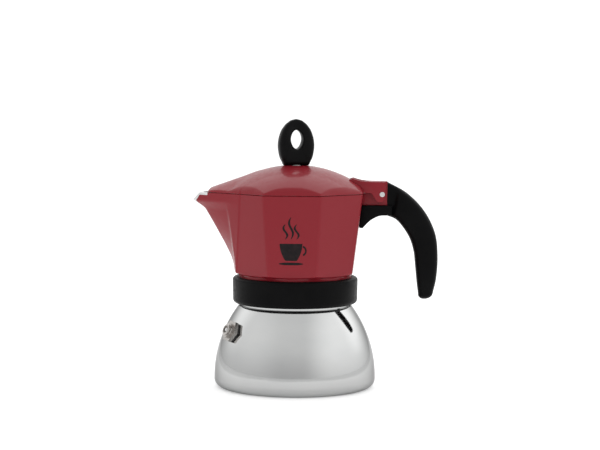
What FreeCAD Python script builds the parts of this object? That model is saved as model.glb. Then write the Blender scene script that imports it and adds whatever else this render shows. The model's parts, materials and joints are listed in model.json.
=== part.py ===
import FreeCAD, Part
import math
import os
from types import SimpleNamespace

import Sketcher

# Stove-top moka pot, millimetres, +Z up. The origin is where the pot's axis meets the table.
# The handle points along +X and the spout along -X.

DRIVING_SIZES = {
    # boiler
    "belly_radius": 47.0,
    "belly_level": 5.8,
    "dome_arc_radius": 69.6,
    "shell_wall": 1.0,
    "base_cap_wall": 0.8,
    "heat_disc_thickness": 2.4,
    "base_seam_level": 5.2,
    "shoulder_radius": 32.97,
    "bead_radius": 31.4,
    "bead_height": 1.7,
    "neck_core_radius": 29.9,
    "neck_rise": 9.6,
    # screw thread between boiler and collector
    "thread_pitch": 3.0,
    "thread_turns": 2.2,
    "thread_depth": 1.0,
    "thread_root_width": 1.3,
    "thread_crest_width": 0.5,
    "thread_start_rise": 1.6,
    "thread_radial_gap": 0.2,
    "thread_flank_gap": 0.15,
    # funnel, gasket and filter plate
    "funnel_wall": 0.8,
    "funnel_gap": 0.6,
    "basket_depth": 18.0,
    "strainer_thickness": 0.8,
    "strainer_ledge": 1.5,
    "stem_radius": 4.6,
    "stem_end_level": 8.0,
    "funnel_cone_drop": 7.0,
    "gasket_thickness": 2.6,
    "gasket_inner_radius": 25.5,
    "gasket_gap": 0.4,
    "plate_thickness": 0.8,
    "plate_gap": 0.5,
    "perforation_radius": 0.9,
    "perforation_spacing": 5.6,
    # collector
    "skirt_wall": 1.7,
    "skirt_gap": 0.5,
    "neck_cover": 7.2,
    "foot_cone_rise": 0.28,
    "jug_foot_apothem": 33.4,
    "jug_rim_apothem": 39.3,
    "jug_wall_height": 47.2,
    "jug_wall": 2.3,
    "corner_rounding": 1.6,
    "floor_thickness": 3.0,
    "chamber_rise": 5.5,
    "column_foot_radius": 7.6,
    "column_top_radius": 5.2,
    "column_bore_radius": 3.2,
    "column_drop": 9.4,
    "outlet_height": 5.0,
    "outlet_width": 4.4,
    # spout
    "spout_overhang": 21.3,
    "spout_root_half_width": 25.0,
    "spout_tip_half_width": 3.2,
    "spout_wall": 1.8,
    # collar
    "collar_thickness": 3.6,
    "collar_foot_drop": 0.3,
    "collar_top_drop": 1.7,
    "collar_top_rounding": 1.8,
    "collar_foot_rounding": 2.4,
    "collar_fit": 0.05,
    "collar_lip": 0.95,
    # lid
    "lid_gap": 0.2,
    "lid_dome_radius": 67.0,
    "lid_rise": 15.7,
    "lid_dome_crown": 0.3,
    "lid_wall": 2.0,
    "roof_crown_radius": 36.0,
    "roof_ridge_setback": 10.1,
    "roof_ridge_rise": 9.8,
    "roof_slope": 19.6,
    "roof_overhang": 11.2,
    # hinge
    "hinge_overhang": 11.0,
    "hinge_drop": 0.4,
    "hinge_pin_radius": 1.45,
    "hinge_fit": 0.05,
    "lug_half_width": 3.9,
    "lug_foot_drop": 6.9,
    "lug_top_rise": 6.9,
    "lug_end_overhang": 2.4,
    "lug_front_setback": 8.0,
    "arm_gap": 0.3,
    "arm_width": 3.3,
    "arm_sweep_radius": 9.0,
    "lug_sweep_gap": 0.4,
    # handle
    "handle_half_width": 7.2,
    "jaw_height": 12.4,
    "jaw_gap": 0.3,
    "handle_screw_radius": 2.0,
    "handle_screw_head_radius": 3.6,
    "handle_screw_setback": 4.9,
    "handle_screw_bite": 6.0,
    # knob
    "knob_height": 26.9,
    "knob_half_width": 10.5,
    "knob_half_depth": 5.8,
    "knob_turn": 15.0,
    "knob_hole_width": 7.4,
    "knob_hole_height": 10.9,
    "knob_hole_rise": 15.1,
    "knob_insert_radius": 3.4,
    "knob_insert_depth": 7.0,
    "knob_screw_radius": 2.0,
    "knob_washer_radius": 5.4,
    "knob_washer_thickness": 0.8,
    # safety valve
    "valve_level": 34.0,
    "valve_azimuth": -147.0,
    "valve_thread_radius": 4.0,
    "valve_hole_gap": 0.2,
    "valve_flange_across": 11.6,
    "valve_flange_start": 0.7,
    "valve_flange_end": 2.7,
    "valve_step_radius": 4.3,
    "valve_step_end": 4.2,
    "valve_nose_radius": 3.35,
    "valve_nose_end": 5.3,
    "valve_recess_radius": 2.1,
    "valve_bore_radius": 2.6,
    "valve_inner_end": 7.0,
    "valve_seat_depth": 1.4,
    "valve_inlet_radius": 1.2,
    "valve_piston_radius": 2.35,
    "valve_rod_radius": 1.0,
    "valve_rod_fit": 0.1,
    "valve_spring_wire": 0.3,
}


class Size:
    """A size that knows both its number and the sheet expression that gives it."""

    def __init__(self, number, text):
        self.number = number
        self.text = text

    def __add__(self, other):
        return combined(self, "+", other)

    def __radd__(self, other):
        return combined(other, "+", self)

    def __sub__(self, other):
        return combined(self, "-", other)

    def __rsub__(self, other):
        return combined(other, "-", self)

    def __mul__(self, other):
        return combined(self, "*", other)

    def __rmul__(self, other):
        return combined(other, "*", self)

    def __truediv__(self, other):
        return combined(self, "/", other)

    def __rtruediv__(self, other):
        return combined(other, "/", self)

    def __neg__(self):
        return combined(0, "-", self)


def as_size(value):
    return value if isinstance(value, Size) else Size(float(value), repr(float(value)))


def combined(left, sign, right):
    first, second = as_size(left), as_size(right)
    operations = {
        "+": lambda one, two: one + two,
        "-": lambda one, two: one - two,
        "*": lambda one, two: one * two,
        "/": lambda one, two: one / two,
    }
    number = operations[sign](first.number, second.number)
    return Size(number, "(%s %s %s)" % (first.text, sign, second.text))


def root(value):
    return Size(math.sqrt(value.number), "sqrt(%s)" % value.text)


def cosine(value):
    return Size(math.cos(math.radians(value.number)), "cos(%s * 1 deg)" % value.text)


document = FreeCAD.newDocument("moka_pot")
sheet = document.addObject("Spreadsheet::Sheet", "dims")
d = SimpleNamespace()
for row, (alias, value) in enumerate(DRIVING_SIZES.items(), start=1):
    sheet.set("A%d" % row, str(value))
    sheet.setAlias("A%d" % row, alias)
    setattr(d, alias, Size(value, "dims." + alias))
document.recompute()

subparts = {}


# ---- helpers -------------------------------------------------------------------------------------

def derive(alias, size):
    """A size worked out from others, kept in the sheet under its own name."""
    cell = "A%d" % (len(vars(d)) + 1)
    sheet.set(cell, "=" + size.text.replace("dims.", ""))
    sheet.setAlias(cell, alias)
    setattr(d, alias, Size(size.number, "dims." + alias))


def bind(item, name, value):
    """Set one property, as an expression where it comes from the sheet."""
    if isinstance(value, Size):
        item.setExpression(name, value.text)
    else:
        setattr(item, name, value)


def move_to(item, position):
    for letter, value in zip("xyz", position):
        item.setExpression("Placement.Base." + letter, as_size(value).text)


def solid(kind, name, position=None, rotation=None, **sizes):
    """A Part primitive with its sizes and, where a position is given, its place bound to the sheet."""
    item = document.addObject("Part::" + kind, name)
    for key, value in sizes.items():
        bind(item, key, value)
    if rotation:
        item.Placement = FreeCAD.Placement(FreeCAD.Vector(), rotation)
    if position:
        move_to(item, position)
    return item


def combine_parts(kind, name, items):
    item = document.addObject("Part::" + kind, name)
    item.Shapes = items
    item.Refine = False
    return item


def fuse(name, *items):
    return combine_parts("MultiFuse", name, list(items))


def common(name, *items):
    return combine_parts("MultiCommon", name, list(items))


def cut(name, base, *tools):
    item = document.addObject("Part::Cut", name)
    item.Base = base
    item.Tool = tools[0] if len(tools) == 1 else fuse(name + "_tools", *tools)
    item.Refine = False
    return item


def subpart(label, item):
    item.Label = label
    subparts[label] = item
    return item


def origin_plane(body, role):
    return next(feature for feature in body.Origin.OriginFeatures if feature.Role == role)


def outline(body, name, role, points):
    """A closed sketch. A point with a radius and a turn starts an arc to the next point."""
    sketch = body.newObject("Sketcher::SketchObject", name)
    sketch.AttachmentSupport = [(origin_plane(body, role), "")]
    sketch.MapMode = "FlatFace"
    corners = [FreeCAD.Vector(as_size(point[0]).number, as_size(point[1]).number, 0) for point in points]
    ends = []
    for index, point in enumerate(points):
        start, end = corners[index], corners[(index + 1) % len(points)]
        if len(point) == 2:
            sketch.addGeometry(Part.LineSegment(start, end), False)
            ends.append((1, 2))
            continue
        radius, turn = as_size(point[2]).number, point[3]
        chord = end - start
        side = FreeCAD.Vector(-chord.y, chord.x, 0).normalize() * turn
        centre = (start + end) * 0.5 + side * math.sqrt(radius ** 2 - (chord.Length / 2) ** 2)
        first, last = (start, end) if turn > 0 else (end, start)
        angles = [math.atan2(spot.y - centre.y, spot.x - centre.x) for spot in (first, last)]
        circle = Part.Circle(centre, FreeCAD.Vector(0, 0, 1), radius)
        sketch.addGeometry(Part.ArcOfCircle(circle, angles[0], angles[1]), False)
        ends.append((1, 2) if turn > 0 else (2, 1))
    count = len(points)
    for index in range(count):
        following = (index + 1) % count
        meeting = (index, ends[index][1], following, ends[following][0])
        sketch.addConstraint(Sketcher.Constraint("Coincident", *meeting))
    for index, point in enumerate(points):
        for kind, value in (("DistanceX", as_size(point[0])), ("DistanceY", as_size(point[1]))):
            number = sketch.addConstraint(Sketcher.Constraint(kind, index, ends[index][0], value.number))
            sketch.setExpression("Constraints[%d]" % number, value.text)
        if len(point) > 2:
            value = as_size(point[2])
            number = sketch.addConstraint(Sketcher.Constraint("Radius", index, value.number))
            sketch.setExpression("Constraints[%d]" % number, value.text)
    return sketch


def turned(name, points, role="XZ_Plane"):
    """A body of revolution about the vertical axis."""
    body = document.addObject("PartDesign::Body", name)
    sketch = outline(body, name + "_profile", role, points)
    feature = body.newObject("PartDesign::Revolution", name + "_turned")
    feature.Profile = sketch
    feature.ReferenceAxis = (sketch, ["V_Axis"])
    feature.Angle = 360
    return body


def padded(name, points, width, role="XZ_Plane"):
    """A plate cut to an outline, with its thickness centred on the outline's plane."""
    body = document.addObject("PartDesign::Body", name)
    sketch = outline(body, name + "_outline", role, points)
    feature = body.newObject("PartDesign::Pad", name + "_pad")
    feature.Profile = sketch
    bind(feature, "Length", width)
    feature.SideType = "Symmetric"
    return body


def add_thread(body, name, points, height):
    """A screw ridge on a turned body, wound up from its section."""
    document.recompute()
    sketch = outline(body, name + "_section", "XZ_Plane", points)
    feature = body.newObject("PartDesign::AdditiveHelix", name)
    feature.Profile = sketch
    feature.ReferenceAxis = (sketch, ["V_Axis"])
    feature.Mode = 0
    bind(feature, "Pitch", d.thread_pitch)
    bind(feature, "Height", height)
    return feature


def perforate(body, name, rings=4):
    """Rings of round holes through a plate, six more in each ring than in the one inside it."""
    document.recompute()
    for ring in range(1, rings + 1):
        plate = body.Tip
        sketch = body.newObject("Sketcher::SketchObject", "%s_ring_%d" % (name, ring))
        sketch.AttachmentSupport = [(origin_plane(body, "XY_Plane"), "")]
        sketch.MapMode = "FlatFace"
        circle = Part.Circle(FreeCAD.Vector(1, 0, 0), FreeCAD.Vector(0, 0, 1), 1)
        sketch.addGeometry(circle, False)
        sketch.addConstraint(Sketcher.Constraint("Radius", 0, 1))
        sketch.addConstraint(Sketcher.Constraint("PointOnObject", 0, 3, -1))
        sketch.addConstraint(Sketcher.Constraint("DistanceX", 0, 3, 1))
        sketch.setExpression("Constraints[0]", d.perforation_radius.text)
        sketch.setExpression("Constraints[2]", (d.perforation_spacing * ring).text)
        pocket = body.newObject("PartDesign::Pocket", "%s_hole_%d" % (name, ring))
        pocket.Profile = sketch
        pocket.Type = "ThroughAll"
        pocket.SideType = "Symmetric"
        document.recompute()
        pattern = body.newObject("PartDesign::PolarPattern", "%s_holes_%d" % (name, ring))
        pattern.Originals = [pocket]
        pattern.Axis = (sketch, ["N_Axis"])
        pattern.Angle = 360
        pattern.Occurrences = 6 * ring
        body.Tip = pattern
        document.recompute()


def octagon(name, circumradius, level):
    """An eight-sided wire, flat sides facing X and Y."""
    item = document.addObject("Part::RegularPolygon", name)
    item.Polygon = 8
    bind(item, "Circumradius", circumradius)
    item.Placement = FreeCAD.Placement(FreeCAD.Vector(), FreeCAD.Rotation(FreeCAD.Vector(0, 0, 1), 22.5))
    move_to(item, (0, 0, level))
    return item


def loft(name, sections, ruled=True):
    item = document.addObject("Part::Loft", name)
    item.Sections = sections
    item.Solid = True
    item.Ruled = ruled
    return item


# ---- boiler --------------------------------------------------------------------------------------

cap_corner = d.base_seam_level
cap_flat_radius = d.belly_radius - cap_corner
inner_corner = cap_corner - d.base_cap_wall
shell_floor_level = d.base_cap_wall + d.heat_disc_thickness
shell_foot_radius = cap_flat_radius + root(
    inner_corner * inner_corner - (cap_corner - shell_floor_level) * (cap_corner - shell_floor_level))
dome_centre = d.belly_radius - d.dome_arc_radius
shoulder_level = d.belly_level + root(
    d.dome_arc_radius * d.dome_arc_radius
    - (d.shoulder_radius - dome_centre) * (d.shoulder_radius - dome_centre))
bead_top_level = shoulder_level + d.bead_height

# levels and reaches that other pieces share
derive("neck_rim_level", bead_top_level + d.neck_rise)
derive("thread_start_level", bead_top_level + d.thread_start_rise)
derive("skirt_end_level", bead_top_level + d.skirt_gap)
derive("wall_foot_level", d.neck_rim_level + d.neck_cover)
derive("jug_rim_level", d.wall_foot_level + d.jug_wall_height)
derive("column_top_level", d.jug_rim_level - d.column_drop)
derive("spout_reach", d.jug_rim_apothem + d.spout_overhang)
skirt_bore_radius = d.neck_core_radius + d.thread_depth + d.thread_radial_gap
derive("skirt_radius", skirt_bore_radius + d.skirt_wall)
derive("collar_foot_level", bead_top_level - d.collar_foot_drop)
derive("collar_top_level", d.wall_foot_level - d.collar_top_drop)
derive("collar_radius", d.skirt_radius + d.collar_thickness)
derive("lid_top_level", d.jug_rim_level + d.lid_rise)
derive("roof_ridge_reach", d.jug_rim_apothem - d.roof_ridge_setback)
derive("roof_ridge_level", d.jug_rim_level + d.roof_ridge_rise)
derive("roof_end_reach", d.jug_rim_apothem + d.roof_overhang)
derive("hinge_reach", d.jug_rim_apothem + d.hinge_overhang)
derive("hinge_level", d.jug_rim_level - d.hinge_drop)
derive("lug_foot_level", d.jug_rim_level - d.lug_foot_drop)
derive("lug_top_level", d.jug_rim_level + d.lug_top_rise)
derive("lug_end_reach", d.hinge_reach + d.lug_end_overhang)
derive("lug_front_reach", d.hinge_reach - d.lug_front_setback)
derive("handle_screw_reach", d.hinge_reach - d.handle_screw_setback)
derive("knob_hole_level", d.lid_top_level + d.knob_hole_rise)
neck_bore_radius = d.neck_core_radius - d.shell_wall
inner_arc_radius = d.dome_arc_radius - d.shell_wall
inner_shoulder_level = shoulder_level - d.shell_wall
inner_shoulder_radius = dome_centre + root(
    inner_arc_radius * inner_arc_radius
    - (inner_shoulder_level - d.belly_level) * (inner_shoulder_level - d.belly_level))
inner_belly_radius = d.belly_radius - d.base_cap_wall - d.shell_wall


def make_boiler_shell():
    shell = turned("shell_body", [
        (0, shell_floor_level),
        (shell_foot_radius, shell_floor_level, inner_corner, 1),
        (d.belly_radius - d.base_cap_wall, cap_corner),
        (d.belly_radius, cap_corner),
        (d.belly_radius, d.belly_level, d.dome_arc_radius, 1),
        (d.shoulder_radius, shoulder_level),
        (d.bead_radius, shoulder_level),
        (d.bead_radius, bead_top_level),
        (d.neck_core_radius, bead_top_level),
        (d.neck_core_radius, d.neck_rim_level),
        (neck_bore_radius, d.neck_rim_level),
        (neck_bore_radius, inner_shoulder_level),
        (inner_shoulder_radius, inner_shoulder_level, inner_arc_radius, -1),
        (d.belly_radius - d.shell_wall, d.belly_level),
        (inner_belly_radius, shell_floor_level + 2 * d.shell_wall),
        (shell_foot_radius - d.shell_wall, shell_floor_level + d.shell_wall),
        (0, shell_floor_level + d.shell_wall),
    ])
    ridge = [
        (d.neck_core_radius - 0.1, d.thread_start_level - d.thread_root_width / 2),
        (d.neck_core_radius + d.thread_depth, d.thread_start_level - d.thread_crest_width / 2),
        (d.neck_core_radius + d.thread_depth, d.thread_start_level + d.thread_crest_width / 2),
        (d.neck_core_radius - 0.1, d.thread_start_level + d.thread_root_width / 2),
    ]
    add_thread(shell, "neck_thread", ridge, d.thread_pitch * d.thread_turns)
    valve_hole = solid("Cylinder", "valve_hole", Radius=d.valve_thread_radius + d.valve_hole_gap, Height=20)
    valve_hole.Placement = valve_place(-10)
    return subpart("boiler_shell", cut("boiler_shell", shell, valve_hole))


def make_base():
    subpart("base_cap", turned("base_cap", [
        (0, 0),
        (cap_flat_radius, 0, cap_corner, 1),
        (d.belly_radius, cap_corner),
        (d.belly_radius - d.base_cap_wall, cap_corner, inner_corner, -1),
        (cap_flat_radius, d.base_cap_wall),
        (0, d.base_cap_wall),
    ]))
    subpart("heat_disc", solid(
        "Cylinder", "heat_disc", position=(0, 0, d.base_cap_wall),
        Radius=cap_flat_radius, Height=d.heat_disc_thickness))


# ---- safety valve --------------------------------------------------------------------------------

valve_reach = dome_centre + root(
    d.dome_arc_radius * d.dome_arc_radius - (d.valve_level - d.belly_level) * (d.valve_level - d.belly_level))


def valve_place(along=0.0):
    """The placement that turns +Z outward, square to the dome, at the valve's seat."""
    azimuth = math.radians(d.valve_azimuth.number)
    rise = math.asin((d.valve_level.number - d.belly_level.number) / d.dome_arc_radius.number)
    outward = FreeCAD.Vector(
        math.cos(azimuth) * math.cos(rise), math.sin(azimuth) * math.cos(rise), math.sin(rise))
    seat = FreeCAD.Vector(
        valve_reach.number * math.cos(azimuth), valve_reach.number * math.sin(azimuth), d.valve_level.number)
    turn = FreeCAD.Rotation(FreeCAD.Vector(0, 0, 1), outward)
    return FreeCAD.Placement(seat + outward * along, turn)


def make_valve():
    web_start = d.valve_step_end - 0.6
    web_end = web_start + 0.8
    rod_hole_radius = d.valve_rod_radius + d.valve_rod_fit
    seat_level = d.valve_seat_depth - d.valve_inner_end
    flange = document.addObject("Part::Prism", "valve_flange")
    flange.Polygon = 6
    bind(flange, "Circumradius", d.valve_flange_across / 2 / cosine(Size(30, "30")))
    bind(flange, "Height", d.valve_flange_end - d.valve_flange_start)
    move_to(flange, (0, 0, d.valve_flange_start))
    stem = turned("valve_stem", [
        (d.valve_inlet_radius, -d.valve_inner_end),
        (d.valve_thread_radius, -d.valve_inner_end),
        (d.valve_thread_radius, d.valve_flange_start),
        (d.valve_step_radius, d.valve_flange_start),
        (d.valve_step_radius, d.valve_step_end),
        (d.valve_bore_radius, d.valve_step_end),
        (d.valve_bore_radius, seat_level),
        (d.valve_inlet_radius, seat_level),
    ])
    bore = solid("Cylinder", "valve_bore", position=(0, 0, seat_level),
                 Radius=d.valve_bore_radius, Height=d.valve_step_end - seat_level)
    body = subpart("valve_body", cut("valve_body", fuse("valve_blank", flange, stem), bore))

    gasket_blank = solid("Cylinder", "valve_gasket_blank", position=(0, 0, -1.2),
                         Radius=d.valve_flange_across / 2 - 0.2, Height=d.valve_flange_start + 1.2)
    gasket_bore = solid("Cylinder", "valve_gasket_bore", position=(0, 0, -2),
                        Radius=d.valve_thread_radius, Height=4)
    gasket_ring = cut("valve_gasket_ring", gasket_blank, gasket_bore)
    gasket_ring.Placement = valve_place()
    dome_form = turned("dome_form", [
        (0, 0),
        (d.belly_radius, 0),
        (d.belly_radius, d.belly_level, d.dome_arc_radius, 1),
        (d.shoulder_radius, shoulder_level),
        (0, shoulder_level),
    ])
    subpart("valve_gasket", cut("valve_gasket", gasket_ring, dome_form))

    nut_blank = document.addObject("Part::Prism", "valve_nut_blank")
    nut_blank.Polygon = 6
    bind(nut_blank, "Circumradius", d.valve_flange_across / 2)
    nut_blank.Height = 2.6
    nut_blank.Placement = FreeCAD.Placement(FreeCAD.Vector(0, 0, -4.2), FreeCAD.Rotation())
    nut_bore = solid("Cylinder", "valve_nut_bore", position=(0, 0, -5),
                     Radius=d.valve_thread_radius, Height=4)
    nut = subpart("valve_nut", cut("valve_nut", nut_blank, nut_bore))

    cap = subpart("valve_cap", turned("valve_cap", [
        (rod_hole_radius, web_start),
        (d.valve_bore_radius, web_start),
        (d.valve_bore_radius, d.valve_step_end),
        (d.valve_nose_radius, d.valve_step_end),
        (d.valve_nose_radius, d.valve_nose_end - 0.3),
        (d.valve_nose_radius - 0.3, d.valve_nose_end),
        (d.valve_recess_radius, d.valve_nose_end),
        (d.valve_recess_radius, web_end),
        (rod_hole_radius, web_end),
    ]))
    head_start = seat_level + 0.7
    head_end = head_start + 1.2
    piston = subpart("valve_piston", turned("valve_piston", [
        (0, head_start),
        (d.valve_piston_radius, head_start),
        (d.valve_piston_radius, head_end),
        (d.valve_rod_radius, head_end),
        (d.valve_rod_radius, d.valve_nose_end - 0.5),
        (d.valve_rod_radius - 0.3, d.valve_nose_end - 0.2),
        (0, d.valve_nose_end - 0.2),
    ]))
    seal = subpart("valve_seal", turned("valve_seal", [
        (0, seat_level),
        (d.valve_piston_radius - 0.2, seat_level),
        (d.valve_piston_radius - 0.2, head_start),
        (0, head_start),
    ]))

    coil_radius = d.valve_bore_radius - d.valve_spring_wire - 0.15
    path = document.addObject("Part::Helix", "valve_spring_path")
    bind(path, "Radius", coil_radius)
    bind(path, "Height", web_start - head_end - 2 * d.valve_spring_wire - 0.1)
    bind(path, "Pitch", (web_start - head_end - 2 * d.valve_spring_wire - 0.1) / 6)
    wire = document.addObject("Part::Circle", "valve_spring_wire")
    bind(wire, "Radius", d.valve_spring_wire)
    wire.Placement = FreeCAD.Placement(
        FreeCAD.Vector(coil_radius.number, 0, 0), FreeCAD.Rotation(FreeCAD.Vector(1, 0, 0), 90))
    spring = document.addObject("Part::Sweep", "valve_spring")
    spring.Sections = [wire]
    spring.Spine = (path, ["Edge1"])
    spring.Solid = True
    spring.Frenet = True
    for item in (body, nut, cap, piston, seal):
        item.Placement = valve_place()
    spring.Placement = valve_place((head_end + d.valve_spring_wire + 0.05).number)
    subpart("valve_spring", spring)


# ---- funnel, gasket and filter plate --------------------------------------------------------------

basket_radius = neck_bore_radius - d.funnel_gap
basket_floor_level = d.neck_rim_level + d.funnel_wall - d.basket_depth
gasket_level = d.neck_rim_level + d.funnel_wall
plate_level = gasket_level + d.gasket_thickness
chamber_level = plate_level + d.plate_thickness


def make_funnel():
    inner_radius = basket_radius - d.funnel_wall
    stem_bore = d.stem_radius - d.funnel_wall
    cone_top = basket_floor_level - d.funnel_wall
    subpart("funnel", turned("funnel", [
        (d.neck_core_radius - 0.2, d.neck_rim_level),
        (d.neck_core_radius - 0.2, gasket_level),
        (inner_radius, gasket_level),
        (inner_radius, basket_floor_level),
        (inner_radius - d.strainer_ledge, basket_floor_level),
        (stem_bore, cone_top - d.funnel_cone_drop),
        (stem_bore, d.stem_end_level),
        (d.stem_radius, d.stem_end_level),
        (d.stem_radius, cone_top - d.funnel_cone_drop),
        (basket_radius - 0.5, cone_top),
        (basket_radius, cone_top + 0.5),
        (basket_radius, d.neck_rim_level),
    ]))
    strainer = turned("funnel_strainer", [
        (0, basket_floor_level),
        (inner_radius - 0.1, basket_floor_level),
        (inner_radius - 0.1, basket_floor_level + d.strainer_thickness),
        (0, basket_floor_level + d.strainer_thickness),
    ])
    perforate(strainer, "strainer")
    subpart("funnel_strainer", strainer)


def make_seal():
    subpart("gasket", turned("gasket", [
        (d.gasket_inner_radius, gasket_level),
        (skirt_bore_radius - d.gasket_gap, gasket_level),
        (skirt_bore_radius - d.gasket_gap, plate_level),
        (d.gasket_inner_radius, plate_level),
    ]))
    plate = turned("filter_plate", [
        (0, plate_level),
        (skirt_bore_radius - d.plate_gap, plate_level),
        (skirt_bore_radius - d.plate_gap, chamber_level),
        (0, chamber_level),
    ])
    perforate(plate, "plate")
    subpart("filter_plate", plate)


# ---- collector -----------------------------------------------------------------------------------

to_corner = 1 / cosine(Size(22.5, "22.5"))
wall_start_level = d.wall_foot_level - 4.2


def wall_apothem(level):
    """Half the distance across the jug's flats at a level."""
    slope = (d.jug_rim_apothem - d.jug_foot_apothem) / (d.jug_rim_level - d.wall_foot_level)
    return d.jug_foot_apothem + slope * (level - d.wall_foot_level)


def faceted_block(name, inset, low, high):
    """The octagonal taper of the jug between two levels, drawn in by an inset."""
    sections = [
        octagon(name + "_low", (wall_apothem(low) - inset) * to_corner, low),
        octagon(name + "_high", (wall_apothem(high) - inset) * to_corner, high),
    ]
    return loft(name, sections)


SPOUT_KEEL = [
    # share of the wall's height, share of the way from the foot of the wall to the beak's tip
    (-0.05, 0.06), (0.03, 0.087), (0.222, 0.128), (0.483, 0.389), (0.752, 0.66),
    (0.803, 0.717), (0.852, 0.83), (0.883, 0.94), (0.898, 1.00), (1.02, 1.00),
]


def spout_section(level, keel, half_width, root_reach, nose, inside_reach):
    """A level V-shaped wire: open root inside the wall, rounded keel outside it."""
    setback = min(0.7 * nose, 0.5 * (keel - root_reach))
    corners = [
        FreeCAD.Vector(-inside_reach, half_width, level),
        FreeCAD.Vector(-root_reach, half_width, level),
        FreeCAD.Vector(-keel + setback, nose, level),
    ]
    mirrored = [FreeCAD.Vector(corner.x, -corner.y, corner.z) for corner in reversed(corners)]
    edges = [
        Part.LineSegment(corners[0], corners[1]).toShape(),
        Part.LineSegment(corners[1], corners[2]).toShape(),
        Part.Arc(corners[2], FreeCAD.Vector(-keel, 0, level), mirrored[0]).toShape(),
        Part.LineSegment(mirrored[0], mirrored[1]).toShape(),
        Part.LineSegment(mirrored[1], mirrored[2]).toShape(),
        Part.LineSegment(mirrored[2], corners[0]).toShape(),
    ]
    return Part.Wire(edges)


def spout_solid(inset):
    """The beak below the rim, or its channel when drawn in by the wall thickness."""
    foot = d.wall_foot_level.number
    height = d.jug_rim_level.number - foot
    foot_apothem = d.jug_foot_apothem.number
    foot_half_width = foot_apothem * math.tan(math.radians(22.5))
    rim_half_width = d.spout_root_half_width.number
    diagonal = math.sqrt(2)
    sections = []
    for share, overhang in SPOUT_KEEL:
        level = foot + share * height
        wall = wall_apothem(Size(level, "")).number
        keel = foot_apothem + overhang * (d.spout_reach.number - foot_apothem) - 1.15 * inset
        half_width = foot_half_width + share * (rim_half_width - foot_half_width) - 1.3 * inset
        on_diagonal = diagonal * (wall - inset) - half_width
        root_reach = min(wall - inset, on_diagonal, keel - 0.3)
        sections.append(spout_section(
            level, keel, half_width, root_reach, d.spout_tip_half_width.number - 0.5 * inset,
            root_reach - d.jug_wall.number))
    return Part.makeLoft(sections, True, True)


def make_spout(name, inset):
    item = document.addObject("Part::Feature", name)
    item.Shape = spout_solid(inset)
    return item


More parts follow.
